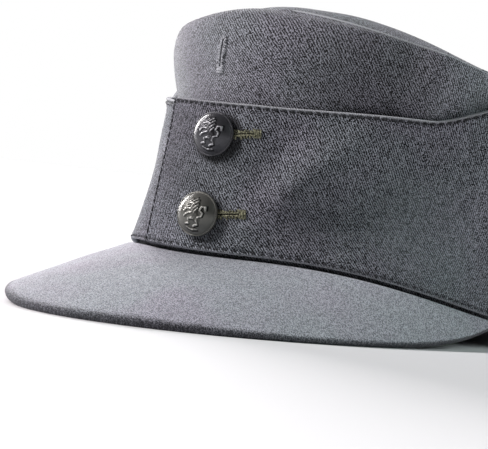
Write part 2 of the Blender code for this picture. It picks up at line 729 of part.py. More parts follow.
def slit_cutter(name, frame, length, width, eye, depth):
    """Cutter for a tailored slit that starts in a round eye and runs along the frame's x axis."""
    slit = width / 2.0
    open_angle = math.asin(min(slit / eye, 1.0))
    turn = np.linspace(open_angle, 2.0 * math.pi - open_angle, EYE_STEPS)
    outline = [(eye * math.cos(a), eye * math.sin(a)) for a in turn]
    outline += [(length, -slit), (length, slit)]
    count = len(outline)
    points = [(x, y, -depth) for x, y in outline] + [(x, y, depth) for x, y in outline]
    faces = [tuple(range(count))[::-1], tuple(range(count, 2 * count))]
    for i in range(count):
        j = (i + 1) % count
        faces.append((i, j, count + j, count + i))
    cutter = new_object(name, points, faces)
    cutter.matrix_local = frame
    return cutter


for old in list(bpy.data.objects):
    bpy.data.objects.remove(old, do_unlink=True)

REST_TURN, REST_SHIFT = find_rest()
REST_EMPTY = bpy.data.objects.new("cap_at_rest", None)
bpy.context.collection.objects.link(REST_EMPTY)
REST_EMPTY.matrix_world = Matrix.Translation(REST_SHIFT) @ Matrix(REST_TURN.tolist()).to_4x4()

side_middle, side_half, side_way = crown_side_middle()
crown_side = close_sheet("crown_side", side_middle, side_half, True, side_way)
crown_top = make_crown_top()
flap_middle, flap_half, flap_way = flap_grid(1)
flap_left = close_sheet("flap_left", flap_middle, flap_half, False, flap_way)
flap_middle, flap_half, flap_way = flap_grid(-1)
flap_right = close_sheet("flap_right", flap_middle, flap_half, False, flap_way)
peak_middle, peak_half = peak_grid()
peak = close_sheet("peak", peak_middle[::-1], peak_half[::-1], False)

for button_name, button_height in (("button_upper", BUTTON_HIGH), ("button_lower", BUTTON_LOW)):
    make_button(button_name, button_height)
    slit_frame = surface_frame(*flap_face(BUTTON_OFFSET, button_height), 0.0)
    slit_frame = slit_frame @ Matrix.Rotation(SLIT_RISE, 4, "Z")
    eye_radius = SHANK_DIAMETER / 2.0 + SHANK_CLEARANCE
    slit_name = button_name + "_slit"
    cut_reach = FLAP_CLOTH * CUT_REACH
    cutter = slit_cutter(slit_name, slit_frame, SLIT_LENGTH, SLIT_WIDTH, eye_radius, cut_reach)
    add_boolean(flap_left, cutter, "DIFFERENCE")

crown_angle = angle_of_width(CROWN_SLIT_OFFSET)
crown_spot = wall(crown_angle, row_at_height(crown_angle, CROWN_SLIT_HEIGHT))
crown_spot[2] = CROWN_SLIT_HEIGHT - CROWN_SLIT_LENGTH / 2.0
crown_frame = surface_frame(crown_spot, outward(crown_angle), 0.0)
crown_frame = crown_frame @ Matrix.Rotation(math.pi / 2.0 - CROWN_SLIT_LEAN, 4, "Z")
crown_cutter = slit_cutter(
    "crown_slit", crown_frame, CROWN_SLIT_LENGTH, SLIT_WIDTH, SLIT_WIDTH / 2.0, CROWN_CLOTH * CUT_REACH
)
add_boolean(crown_side, crown_cutter, "DIFFERENCE")
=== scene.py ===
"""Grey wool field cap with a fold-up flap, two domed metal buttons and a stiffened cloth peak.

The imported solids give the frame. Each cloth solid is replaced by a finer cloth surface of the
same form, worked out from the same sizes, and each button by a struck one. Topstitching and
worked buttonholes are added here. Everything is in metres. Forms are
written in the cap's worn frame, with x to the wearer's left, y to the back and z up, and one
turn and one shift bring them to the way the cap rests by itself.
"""

from __future__ import annotations

import logging
import math
from dataclasses import dataclass, field, replace
from enum import Enum
from typing import Callable, Sequence

import bpy
import numpy as np
from mathutils import Matrix, Vector


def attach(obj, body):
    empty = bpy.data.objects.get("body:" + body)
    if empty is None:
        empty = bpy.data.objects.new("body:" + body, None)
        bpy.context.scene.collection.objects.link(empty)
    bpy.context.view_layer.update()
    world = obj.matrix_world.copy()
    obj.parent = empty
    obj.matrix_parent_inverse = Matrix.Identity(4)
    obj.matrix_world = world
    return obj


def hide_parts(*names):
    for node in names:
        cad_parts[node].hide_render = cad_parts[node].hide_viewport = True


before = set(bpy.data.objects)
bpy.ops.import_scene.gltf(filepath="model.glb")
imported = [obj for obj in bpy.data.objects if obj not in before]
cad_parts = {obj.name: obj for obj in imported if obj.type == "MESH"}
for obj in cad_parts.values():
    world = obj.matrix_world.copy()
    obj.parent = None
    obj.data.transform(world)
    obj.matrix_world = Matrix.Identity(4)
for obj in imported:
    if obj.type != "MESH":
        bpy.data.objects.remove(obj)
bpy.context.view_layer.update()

log = logging.getLogger("field_cap")

BODY = "root"
Array = np.ndarray
Surface = Callable[[Array, Array], Array]
Mesh = tuple[Array, Array]
Piece = bpy.types.Object
Inputs = dict[int | str, object]
Socket = bpy.types.NodeSocket
Tree = bpy.types.NodeTree
CLOTH_MAP = "cloth"
UP = np.array((0.0, 0.0, 1.0))


class Side(Enum):
    """The two halves of the flap, named for the wearer's sides."""

    LEFT = 1
    RIGHT = -1


def smoothstep(low: float, high: float, value: Array) -> Array:
    """Rise smoothly from 0 at low to 1 at high."""
    share = np.clip((value - low) / (high - low), 0.0, 1.0)
    return share * share * (3.0 - 2.0 * share)


def hill(value: Array, centre: float, width: float) -> Array:
    """A smooth hill, 1 at its centre and about a third of that one width away."""
    return np.exp(-(((value - centre) / width) ** 2))


def through_rows(places: Array, values: Sequence[float], at: Array) -> Array:
    """Read a smooth curve through the rows of a table.

    Each stretch is a cubic whose slopes at its ends come from the neighbouring rows.

    Args:
        places: Place of each row, rising.
        values: Value of each row.
        at: Places to read.

    Returns:
        The curve's value at each place.
    """
    places = np.asarray(places, float)
    values = np.asarray(values, float)
    slopes = np.gradient(values, places)
    index = np.clip(np.searchsorted(places, at, side="right") - 1, 0, len(places) - 2)
    width = places[index + 1] - places[index]
    u = (at - places[index]) / width
    ends = (1 + 2 * u) * (1 - u) ** 2 * values[index] + u * u * (3 - 2 * u) * values[index + 1]
    leans = u * (1 - u) ** 2 * slopes[index] + u * u * (u - 1) * slopes[index + 1]
    return ends + width * leans


def graded(length: float, first: float, growth: float, largest: float) -> Array:
    """Places from 0 to a length that lie close together at both ends and wider in the middle.

    Each step is the last one times the growth, up to the largest, and the far half mirrors the
    near half.

    Args:
        length: Length to divide.
        first: Size of the first and last steps.
        growth: How much each step grows.
        largest: Largest step.

    Returns:
        Rising places, with 0 and the length among them.
    """
    steps = np.minimum(first * growth ** np.arange(math.ceil(length / first)), largest)
    reach = np.cumsum(steps)
    half = reach[reach < length / 2.0]
    half = np.concatenate(([0.0], half * (length / 2.0) / (half[-1] + steps[len(half)] / 2.0)))
    return np.concatenate((half, length - half[::-1]))


def unit(ways: Array) -> Array:
    """Directions brought to a length of 1."""
    return ways / np.maximum(np.linalg.norm(ways, axis=-1, keepdims=True), 1e-12)


def normals_of(grid: Array, closed: bool) -> Array:
    """Unit normals of a grid of points: the cross product of its ways round and up.

    Args:
        grid: Points, rows up and columns round.
        closed: Whether the columns run right round.

    Returns:
        Directions out of the cap.
    """
    up = np.gradient(grid, axis=0)
    if closed:
        around = np.roll(grid, -1, axis=1) - np.roll(grid, 1, axis=1)
    else:
        around = np.gradient(grid, axis=1)
    return unit(np.cross(around, up))


# Lengths of the waves in handled cloth, and the usual height of their sum
WAVE_LENGTHS = (0.018, 0.023, 0.029, 0.037, 0.046, 0.058, 0.070)
WAVE_SUM = 0.12


def soft_waves(u: Array, v: Array, amplitude: float, seed: int = 3) -> Array:
    """Slow unevenness of handled cloth: a sum of seven plane waves 18 to 70 mm long.

    Args:
        u: Distance round the cap.
        v: Distance up the cloth.
        amplitude: Height of the waves together.
        seed: Chooses their directions and phases.

    Returns:
        Height of the waves at each point.
    """
    chance = np.random.default_rng(seed)
    total = np.zeros(np.broadcast(u, v).shape)
    for length in WAVE_LENGTHS:
        way, phase = chance.uniform(0.0, 2.0 * math.pi, 2)
        along = (u * math.cos(way) + v * math.sin(way)) / length
        total = total + length * np.sin(2.0 * math.pi * along + phase)
    return total * amplitude / WAVE_SUM


# Camera


def way_to(azimuth: float, elevation: float) -> Vector:
    """Direction from the cap: (sin a cos e, -cos a cos e, sin e), so azimuth 0 is in front.

    Args:
        azimuth: Angle a round the cap, in degrees.
        elevation: Angle e above the floor, in degrees.

    Returns:
        The direction, of length 1.
    """
    a, e = math.radians(azimuth), math.radians(elevation)
    return Vector((math.sin(a) * math.cos(e), -math.cos(a) * math.cos(e), math.sin(e)))


@dataclass(frozen=True)
class PhotoCamera:
    """Camera at the photograph's angle to the cap, a little above the floor.

    The angles are those of the cap's front and of the picture's edge in the resting pose.
    """

    place: tuple[float, float, float] = (0.3978460, -0.4875707, 0.0490476)
    azimuth: float = 41.966673
    elevation: float = 1.390718
    roll: float = 6.399033
    focal_px: float = 1600.0
    picture_width: float = 488.0
    sensor_mm: float = 36.0
    near_clip: float = 0.01

    def build(self) -> Piece:
        """Make the camera, turn it and set it as the scene's.

        Returns:
            The camera object.
        """
        back, level = way_to(self.azimuth, self.elevation), way_to(self.azimuth + 90.0, 0.0)
        roll = math.radians(self.roll)
        right = level * math.cos(roll) + back.cross(level) * math.sin(roll)
        turn = Matrix((right, back.cross(right), back)).transposed().to_4x4()
        lens = bpy.data.cameras.new("camera")
        lens.sensor_width = self.sensor_mm
        lens.sensor_fit = "HORIZONTAL"
        lens.lens = self.focal_px * self.sensor_mm / self.picture_width
        lens.clip_start = self.near_clip
        camera = bpy.data.objects.new("camera", lens)
        camera.matrix_world = Matrix.Translation(self.place) @ turn
        bpy.context.scene.collection.objects.link(camera)
        bpy.context.scene.camera = camera
        return camera


# Meshes


def make_mesh(
    name: str,
    points: Array,
    faces: Sequence[Array],
    uvs: Sequence[Array] | None = None,
    attributes: dict[str, Array] | None = None,
) -> Piece:
    """Make a smooth-shaded mesh object from whole arrays.

    Args:
        name: Name of the piece.
        points: Vertices, one row each.
        faces: Arrays of vertex indices, each with faces of one number of corners.
        uvs: For each array of faces, the pattern coordinates of its corners.
        attributes: Named values, one for each vertex.

    Returns:
        The object, at the origin, unturned and unscaled.
    """
    mesh = bpy.data.meshes.new(name)
    mesh.vertices.add(len(points))
    mesh.vertices.foreach_set("co", np.ascontiguousarray(points, np.float32).ravel())
    corners = np.concatenate([f.ravel() for f in faces]).astype(np.int32)
    sizes = np.concatenate([np.full(len(f), f.shape[1]) for f in faces])
    starts = np.concatenate(([0], np.cumsum(sizes)[:-1])).astype(np.int32)
    mesh.loops.add(len(corners))
    mesh.loops.foreach_set("vertex_index", corners)
    mesh.polygons.add(len(sizes))
    mesh.polygons.foreach_set("loop_start", starts)
    mesh.update(calc_edges=True)
    if uvs is not None:
        layer = mesh.uv_layers.new(name=CLOTH_MAP)
        flat = np.concatenate([uv.reshape(-1, 2) for uv in uvs]).astype(np.float32)
        layer.data.foreach_set("uv", flat.ravel())
    for key, values in (attributes or {}).items():
        kept = mesh.attributes.new(key, "FLOAT", "POINT")
        kept.data.foreach_set("value", np.ascontiguousarray(values, np.float32).ravel())
    mesh.shade_smooth()
    mesh.validate()
    piece = bpy.data.objects.new(name, mesh)
    bpy.context.scene.collection.objects.link(piece)
    return piece


def quad_corners(rows: int, columns: int) -> tuple[Array, Array]:
    """Row and column of the four corners of every quad of a grid, in outward order.

    Args:
        rows: Quads up the grid.
        columns: Quads along it.

    Returns:
        The rows and the columns of the corners, one quad to a line.
    """
    r, c = (x.ravel() for x in np.meshgrid(np.arange(rows), np.arange(columns), indexing="ij"))
    return np.stack((r, r, r + 1, r + 1), 1), np.stack((c, c + 1, c + 1, c), 1)


def make_sheet(
    name: str,
    outer: Array,
    inner: Array,
    closed: bool,
    uv: Array,
    attributes: dict[str, Array],
    pole: tuple[Array, Array] | None = None,
) -> Piece:
    """Make one closed body at rest from a cloth's outer and inner skins.

    The rows of the outer skin, followed by those of the inner one backwards, run in a loop, so
    that the same quads also close the lower and upper edges. Two strips close the ends of an
    open sheet, and two points the innermost rings of a disc, which has no named values.

    Args:
        name: Name of the piece.
        outer: Outer skin in the worn frame, rows by columns by 3.
        inner: Inner skin, the same.
        closed: Whether the columns run right round.
        uv: Pattern coordinates, rows by columns by 2, with one more column where closed.
        attributes: Named values, rows by columns.
        pole: Middle point of the outer and the inner skin of a disc.

    Returns:
        The object.
    """
    rows, columns = outer.shape[:2]
    loop = 2 * rows
    points = np.concatenate((outer, inner[::-1])).reshape(-1, 3)
    pattern = np.concatenate((uv, uv[::-1]))
    values = {}
    for key, mark in attributes.items():
        mark = np.broadcast_to(mark, (rows, columns))
        values[key] = np.concatenate((mark, mark[::-1])).ravel()
    r, c = quad_corners(loop, columns if closed else columns - 1)
    if pole is not None:
        r, c = r[r[:, 0] != rows - 1], c[r[:, 0] != rows - 1]
    faces = [r % loop * columns + c % columns]
    maps = [pattern[r % loop, c]]
    if not closed:
        r = np.arange(rows - 1)
        near = np.stack((r, r + 1, loop - 2 - r, loop - 1 - r), 1)
        for end, column in ((near, 0), (near[:, [1, 0, 3, 2]], columns - 1)):
            faces.append(end * columns + column)
            maps.append(pattern[end, column])
    if pole is not None:
        ring = np.stack((np.arange(columns), (np.arange(columns) + 1) % columns), 1)
        middle_uv = np.broadcast_to(uv[-1, :columns].mean(axis=0), (columns, 1, 2))
        for number, (row, pair) in enumerate(((rows - 1, ring), (rows, ring[:, ::-1]))):
            tip = np.full(columns, len(points) + number)
            faces.append(np.column_stack((row * columns + pair, tip)))
            maps.append(np.concatenate((uv[-1, pair], middle_uv), axis=1))
        points = np.concatenate((points, np.stack(pole)))
    return make_mesh(name, REST.place(points), faces, maps, values)


def strands(path: Array, out: Array, radius: Array, sides: int = 6) -> Mesh:
    """Carry a round profile along many short paths at once and close both ends of each.

    The ring at each place is centre + radius * (side * cos(a) + over * sin(a)), for equal steps
    of a, where side lies on the cloth across the path and over stands away from the cloth.

    Args:
        path: Paths, strands by places by 3.
        out: Directions out of the cloth, of the same shape.
        radius: Radius at each place along a strand.
        sides: Corners of the ring, an even number.

    Returns:
        The points and the quads of all the strands.
    """
    count, places = path.shape[:2]
    ahead = unit(np.gradient(path, axis=1))
    side = unit(np.cross(out, ahead))
    over = np.cross(ahead, side)
    angle = np.arange(sides)[:, None] * 2.0 * math.pi / sides
    ring = side[:, :, None] * np.cos(angle) + over[:, :, None] * np.sin(angle)
    points = (path[:, :, None] + radius[:, None, None] * ring).reshape(-1, 3)
    r, c = quad_corners(places - 1, sides)
    fold = np.arange(sides // 2 - 1)
    cap = np.stack((fold, fold + 1, sides - 2 - fold, sides - 1 - fold), 1)
    one = np.concatenate((r * sides + c % sides, cap[:, ::-1], cap + (places - 1) * sides))
    shift = np.arange(count)[:, None, None] * places * sides
    return points, (one[None] + shift).reshape(-1, 4)


def join_meshes(meshes: Sequence[Mesh]) -> Mesh:
    """Join the points and quads of several meshes.

    Args:
        meshes: Points and quads of each.

    Returns:
        The points and quads of all.
    """
    counts = np.cumsum([0] + [len(points) for points, _ in meshes[:-1]])
    points = np.concatenate([points for points, _ in meshes])
    return points, np.concatenate([quads + count for (_, quads), count in zip(meshes, counts)])


# Form of the cap


@dataclass(frozen=True)
class RestPose:
    """Turn and shift from the worn frame to the way the cap rests on a floor by itself."""

    tip: float = math.radians(4.318332)
    shift: tuple[float, float, float] = (-0.00019906, 0.02932372, 0.01431513)
    twist: float = 0.0018
    rim_width: float = 0.1680

    def turn(self) -> Array:
        """Rotation that levels the rim's twist and then tips the cap back.

        Returns:
            The rotation, as a matrix of 3 by 3.
        """
        c, s = math.cos(self.tip), math.sin(self.tip)
        back = np.array(((1.0, 0.0, 0.0), (0.0, c, s), (0.0, -s, c)))
        roll = math.atan(self.twist / (self.rim_width / 2.0))
        c, s = math.cos(roll), math.sin(roll)
        return back @ np.array(((c, 0.0, s), (0.0, 1.0, 0.0), (-s, 0.0, c)))

    def place(self, points: Array) -> Array:
        """Turn and shift points, and press flat what would lie below the floor.

        Args:
            points: Points in the worn frame.

        Returns:
            The points as the cap rests.
        """
        world = points @ self.turn().T + np.array(self.shift)
        world[..., 2] = np.maximum(world[..., 2], 0.0)
        return world


@dataclass(frozen=True)
class Fold:
    """A soft fold or, with a depth below nothing, a hollow in a cloth.

    The angle and the slant are in degrees, the height is a share of the cloth's, the length and
    width are shares of the rim's length, and the depth is one of the cloth's thickness.
    """

    name: str
    angle: float
    height: float
    slant: float
    length: float
    width: float
    depth: float


@dataclass(frozen=True)
class CapShape:
    """Outside of the crown, its rim and its top seam, as functions of an angle round the cap.

    The wall is an oval that changes with height: x is the half width times sin t, less an egg
    share towards the front, and y is minus the half length times cos t. The table gives the
    half width, half length and egg share at named heights.
    """

    crown_cloth: float = 0.0018
    flap_cloth: float = 0.0024
    gap: float = 0.0003
    rim_length: float = 0.2030
    rim_width: float = 0.1680
    crown_front: float = 0.0916
    crown_back: float = 0.0780
    seam_side_dip: float = 0.0100
    seam_twist: float = 0.0034
    top_dome: float = 0.0024
    top_front_puff: float = 0.0200
    roll_rise: float = 0.0007
    roll_setback: float = 0.0042
    roll_full: float = math.radians(12.0)
    roll_end: float = math.radians(46.0)
    ledge_share: float = 0.35
    rim_arch: float = 0.0028
    rim_twist: float = 0.0018
    rim_side_drop: float = 0.0075
    rim_front_rise: float = 0.0008
    rim_front_reach: float = math.radians(50.0)
    front_width_share: float = 0.93
    back_egg: float = 0.090
    egg_blend: float = 0.35
    corner_rows: tuple[float, float] = (4.55, 5.30)

    # Name, share of the way up, half width, half length, egg share
    wall_rows: tuple[tuple[str, float, float, float, float], ...] = (
        ("rim", 0.00, 1.000, 1.000, 0.066),
        ("low", 0.30, 0.967, 0.996, 0.168),
        ("flap top", 0.58, 0.955, 0.977, 0.163),
        ("above flap", 0.70, 0.964, 0.985, 0.160),
        ("belly", 0.85, 0.985, 1.009, 0.106),
        ("shoulder", 0.96, 0.968, 0.988, 0.016),
        ("crest", 1.00, 0.930, 0.943, 0.075),
        ("seam", 1.00, 0.890, 0.908, 0.080),
    )
    shoulder: int = 5
    crest: int = 6
    seam_row: int = 7
    girth_row: float = 2.0
    fine_rows: int = 400
    fine_angles: int = 1441

    def level_rim(self, t: Array) -> Array:
        """Rim height before its twist: raised in front, arched beside it, dropped at the sides.

        Args:
            t: Angle from the front, positive towards the wearer's left.

        Returns:
            The height at each angle.
        """
        side = np.where(np.cos(t) > 0.0, np.sin(t) ** 2, 1.0)
        front = 1.0 - smoothstep(0.0, self.rim_front_reach, np.abs(t))
        arch = 4.0 * self.rim_arch * side * (1.0 - side)
        return arch - self.rim_side_drop * side**2 + self.rim_front_rise * front

    def rim(self, t: Array) -> Array:
        """Rim height with its slight twist, higher on the wearer's left."""
        return self.level_rim(t) + self.rim_twist * np.sin(t)

    def seam(self, t: Array) -> Array:
        """Height of the top seam: high in front, dipping at the sides and lower behind.

        Args:
            t: Angle from the front.

        Returns:
            The height at each angle.
        """
        back = (1.0 - np.cos(t)) / 2.0
        fall = (self.crown_front - self.crown_back) * back + self.seam_side_dip * np.sin(t) ** 2
        return self.crown_front - fall + self.seam_twist * np.sin(t)

    def roll_share(self, t: Array) -> Array:
        """1 over the front, where the side cloth rolls over the top, and 0 beyond."""
        return 1.0 - smoothstep(self.roll_full, self.roll_end, np.abs(t))

    def ledge(self, t: Array) -> Array:
        """Share of the turned-over width that the side cloth has: 1 in front, less elsewhere."""
        return self.ledge_share + (1.0 - self.ledge_share) * self.roll_share(t)

    def wall(self, t: Array, row: Array) -> Array:
        """Points on the outside of the crown.

        Args:
            t: Angle from the front.
            row: Place along the table of wall rows, counted in rows.

        Returns:
            Points with a last axis of 3.
        """
        places = np.arange(len(self.wall_rows))
        rise, width, length, egg = (
            through_rows(places, [entry[column] for entry in self.wall_rows], row)
            for column in (1, 2, 3, 4)
        )
        width, length, egg = (
            np.where(row > self.shoulder, start + (value - start) * self.ledge(t), value)
            for start, value in zip(self.wall_rows[self.shoulder][2:], (width, length, egg))
        )
        roll = self.roll_share(t)
        last = smoothstep(self.shoulder, self.seam_row, row)
        crest = np.clip(1.0 - np.abs(row - self.crest), 0.0, 1.0)
        forward = np.cos(t)
        front = smoothstep(-self.egg_blend, self.egg_blend, forward)
        egg = self.back_egg + (egg - self.back_egg) * front
        x = width * self.rim_width / 2 * np.sin(t) * (1.0 - egg * forward)
        y = -length * self.rim_length / 2 * forward + self.roll_setback * last * roll
        rise = rise + (1.0 - rise) * (1.0 - roll) * smoothstep(*self.corner_rows, row)
        z = self.rim(t) + rise * (self.seam(t) - self.rim(t)) + self.roll_rise * crest * roll
        return np.stack(np.broadcast_arrays(x, y, z), -1)

    def row_at(self, t: Array, z: Array) -> Array:
        """Place along the wall rows of a height on the upright part of the wall.

        Args:
            t: Angle from the front.
            z: Height in the worn frame.

        Returns:
            The place, counted in rows.
        """
        rise = (z - self.rim(t)) / (self.seam(t) - self.rim(t))
        rises = [entry[1] for entry in self.wall_rows[: self.shoulder + 1]]
        fine = np.linspace(0.0, self.shoulder, self.fine_rows)
        return np.interp(rise, through_rows(np.arange(len(rises)), rises, fine), fine)

    def outward(self, t: Array) -> Array:
        """Level direction out of the crown's oval: its gradient, brought to a length of 1."""
        ways = (self.rim_length * np.sin(t), -self.rim_width * np.cos(t), np.zeros_like(t))
        return unit(np.stack(ways, -1))

    def folds(self, folds: Sequence[Fold], t: Array, share: Array, thickness: float) -> Array:
        """Outward push of soft folds, each a long hill that fades along and across its line.

        Args:
            folds: The folds and hollows.
            t: Angle from the front.
            share: Share of the height.
            thickness: Thickness of the cloth.

        Returns:
            The push at each point.
        """
        push = np.zeros(np.broadcast(t, share).shape)
        for fold in folds:
            away = (t - math.radians(fold.angle) + math.pi) % (2.0 * math.pi) - math.pi
            side = away * self.rim_length / 2.0
            up = (share - fold.height) * self.crown_front
            c, s = math.cos(math.radians(fold.slant)), math.sin(math.radians(fold.slant))
            along = (side * c + up * s) / (fold.length * self.rim_length)
            across = (up * c - side * s) / (fold.width * self.rim_length)
            push = push + fold.depth * thickness * np.exp(-(along**2) - across**2)
        return push

    def angle_of(self, x: float | Array) -> Array:
        """Angle round the front at a distance x to the wearer's left of the middle."""
        return np.arcsin(np.asarray(x) / (self.rim_width / 2.0 * self.front_width_share))

    def girth(self, t: Array) -> Array:
        """Distance round the crown's mid-height oval from the front to an angle.

        Args:
            t: Angle from the front.

        Returns:
            The distance at each angle, negative towards the wearer's right.
        """
        fine = np.linspace(-math.pi, math.pi, self.fine_angles)
        line = self.wall(fine, np.full_like(fine, self.girth_row))[:, :2]
        steps = np.linalg.norm(np.diff(line, axis=0), axis=1)
        length = np.concatenate(([0.0], np.cumsum(steps)))
        return np.interp(t, fine, length - length[len(length) // 2])

    def angle_at(self, girth: Array) -> Array:
        """Angle at a distance round the crown from the front."""
        fine = np.linspace(-math.pi, math.pi, self.fine_angles)
        return np.interp(girth, self.girth(fine), fine)


SHAPE = CapShape()
REST = RestPose()


# Finishes

MATH = "ShaderNodeMath"
VECTOR = "ShaderNodeVectorMath"
MAPPING = "ShaderNodeMapping"
AXIS = "ShaderNodeSeparateXYZ"
RANGE = "ShaderNodeMapRange"
MIX = "ShaderNodeMix"
NOISE = "ShaderNodeTexNoise"
MARK = "ShaderNodeAttribute"
BUMP = "ShaderNodeBump"
PLACE = "ShaderNodeTexCoord"


def linear(code: str) -> tuple[float, float, float, float]:
    """Linear colour of an sRGB hex code, by the sRGB transfer curve.

    Args:
        code: A hash sign and six hex digits.

    Returns:
        Red, green, blue and an alpha of 1.
    """
    parts = [int(code[i : i + 2], 16) / 255.0 for i in (1, 3, 5)]
    turned = [p / 12.92 if p <= 0.04045 else ((p + 0.055) / 1.055) ** 2.4 for p in parts]
    return (turned[0], turned[1], turned[2], 1.0)


def set_inputs(tree: Tree, node: bpy.types.Node, inputs: Inputs) -> None:
    """Give a node's inputs their values, or link them.

    Args:
        tree: The node tree.
        node: The node.
        inputs: Values and outputs to link, by the input's place or name.
    """
    for key, value in inputs.items():
        if isinstance(value, Socket):
            tree.links.new(value, node.inputs[key])
        else:
            node.inputs[key].default_value = value


def add_node(
    tree: Tree, kind: str, inputs: Inputs | None = None, output: int | str = 0, **settings: object
) -> Socket:
    """Add a node with its settings and links.

    Args:
        tree: The node tree.
        kind: Blender's name of the node.
        inputs: Values and links of its inputs.
        output: Which output is wanted.
        settings: Properties of the node.

    Returns:
        The wanted output.
    """
    node = tree.nodes.new(kind)
    for key, value in settings.items():
        setattr(node, key, value)
    set_inputs(tree, node, inputs or {})
    return node.outputs[output]


def weighted(tree: Tree, *parts: tuple[Socket, float]) -> Socket:
    """Add up patterns, each times its weight.

    Args:
        tree: The node tree.
        parts: Pairs of a pattern and its weight.

    Returns:
        The sum.
    """
    total: Socket | float = 0.0
    for pattern, weight in parts:
        total = add_node(tree, MATH, {0: pattern, 1: weight, 2: total}, operation="MULTIPLY_ADD")
    return total


def start_material(name: str) -> tuple[bpy.types.Material, Tree, bpy.types.Node]:
    """Start a material.

    Args:
        name: Name of the real material.

    Returns:
        The material, its tree and its Principled shader.
    """
    material = bpy.data.materials.new(name)
    material.use_nodes = True
    return material, material.node_tree, material.node_tree.nodes["Principled BSDF"]


class Weave(Enum):
    """How a wool cloth's surface was made."""

    TWILL = "woven with diagonal ribs"
    MILLED = "woven, then milled until the weave is closed"


@dataclass(frozen=True)
class Grain:
    """Uneven spots in a surface: their size, how far they differ and how ragged they are."""

    spot_mm: float
    half_range: float
    detail: float = 1.0
    raggedness: float = 0.5

    def spots(self, tree: Tree, where: Socket, unit_mm: float = 1000.0) -> Socket:
        """Draw the spots as a pattern whose usual range is stretched to run from 0 to 1.

        Args:
            tree: The material's nodes.
            where: Coordinates that the spots follow.
            unit_mm: How many millimetres a unit of the coordinates stands for.

        Returns:
            The pattern.
        """
        noise: Inputs = {"Vector": where, "Scale": unit_mm / self.spot_mm}
        noise |= {"Detail": self.detail, "Roughness": self.raggedness}
        low, high = 0.5 - self.half_range, 0.5 + self.half_range
        return add_node(tree, RANGE, {0: add_node(tree, NOISE, noise), 1: low, 2: high})


@dataclass(frozen=True)
class StitchLine:
    """A row of topstitching that pulls the cloth in, by the attribute that measures its edge."""

    attribute: str
    inset: float = 0.0013
    pitch: float = 0.0028
    runs_up: bool = False
    shade: float = 1.0
    groove_flat: float = 0.00020
    groove_half: float = 0.00075

    def shades(self, tree: Tree, uv: Socket) -> tuple[Socket, Socket]:
        """A groove along the row with a dimple at each end of a stitch: a sine's size.

        Args:
            tree: The material's nodes.
            uv: Pattern coordinates in metres.

        Returns:
            A share of painted shade and a share of depth.
        """
        mark = add_node(tree, MARK, output="Fac", attribute_name=self.attribute)
        off = add_node(tree, MATH, {0: mark, 1: self.inset}, operation="SUBTRACT")
        off = add_node(tree, MATH, {0: off}, operation="ABSOLUTE")
        groove = {0: off, 1: self.groove_flat, 2: self.groove_half, 3: 1.0, 4: 0.0}
        groove = add_node(tree, RANGE, groove)
        run = add_node(tree, AXIS, {0: uv}, 1 if self.runs_up else 0)
        beat = add_node(tree, MATH, {0: run, 1: math.pi / self.pitch}, operation="MULTIPLY")
        for step in ("SINE", "ABSOLUTE"):
            beat = add_node(tree, MATH, {0: beat}, operation=step)
        # Painted shade in the groove and the needle holes
        dark = {0: beat, 1: 0.40, 2: 0.90, 3: 0.12 * self.shade, 4: 0.95 * self.shade}
        deep = {0: beat, 1: 0.0, 2: 0.9, 3: 0.2, 4: 1.0}
        dark, deep = (
            add_node(tree, MATH, {0: groove, 1: add_node(tree, RANGE, share)}, operation="MULTIPLY")
            for share in (dark, deep)
        )
        return dark, deep


@dataclass(frozen=True)
class Slit:
    """A cut worked as a buttonhole, as a line on the cloth's pattern coordinates."""

    u: float
    v: float
    lean: float
    length: float
    width: float = 0.0006
    end_fade: float = 0.0004
    side_fade: float = 2.2

    def shades(self, tree: Tree, uv: Socket) -> tuple[Socket, Socket]:
        """Painted shade and depth along the cut, with soft sides and ends; the shade spreads past
        the cut's width.

        Args:
            tree: The material's nodes.
            uv: Pattern coordinates in metres.

        Returns:
            A share of painted shade and a share of depth.
        """
        turned = {0: uv, 1: (self.u, self.v, 0.0), 2: (0.0, 0.0, self.lean)}
        turned = add_node(tree, MAPPING, turned, vector_type="TEXTURE")
        turned = add_node(tree, VECTOR, {0: turned}, operation="ABSOLUTE")
        along = (self.length / 2.0, self.length / 2.0 + self.end_fade)
        across = (self.width / 2.0, self.width * self.side_fade)
        cut = {}
        for axis, (full, gone) in enumerate((along, across)):
            off = add_node(tree, AXIS, {0: turned}, axis)
            cut[axis] = add_node(tree, RANGE, {0: off, 1: full, 2: gone, 3: 1.0, 4: 0.0})
        cut = add_node(tree, MATH, cut, operation="MULTIPLY")
        return cut, cut


@dataclass(frozen=True)
class Patch:
    """Painted shade or painted light: cloth made darker or paler in a soft-edged disc on the
    pattern coordinates.
    """

    u: float
    v: float
    radius: float
    fade: float
    share: float
    colour: str = "#141416"

    def cover(self, tree: Tree, uv: Socket) -> Socket:
        """Share of the patch's colour: whole inside its radius and smoothly less round it.

        Args:
            tree: The material's nodes.
            uv: Pattern coordinates in metres.

        Returns:
            The share at each point.
        """
        away = {0: uv, 1: (self.u, self.v, 0.0)}
        away = add_node(tree, VECTOR, away, "Value", operation="DISTANCE")
        cover = {0: away, 1: self.radius, 2: self.radius + self.fade, 3: self.share, 4: 0.0}
        return add_node(tree, RANGE, cover, interpolation_type="SMOOTHSTEP")


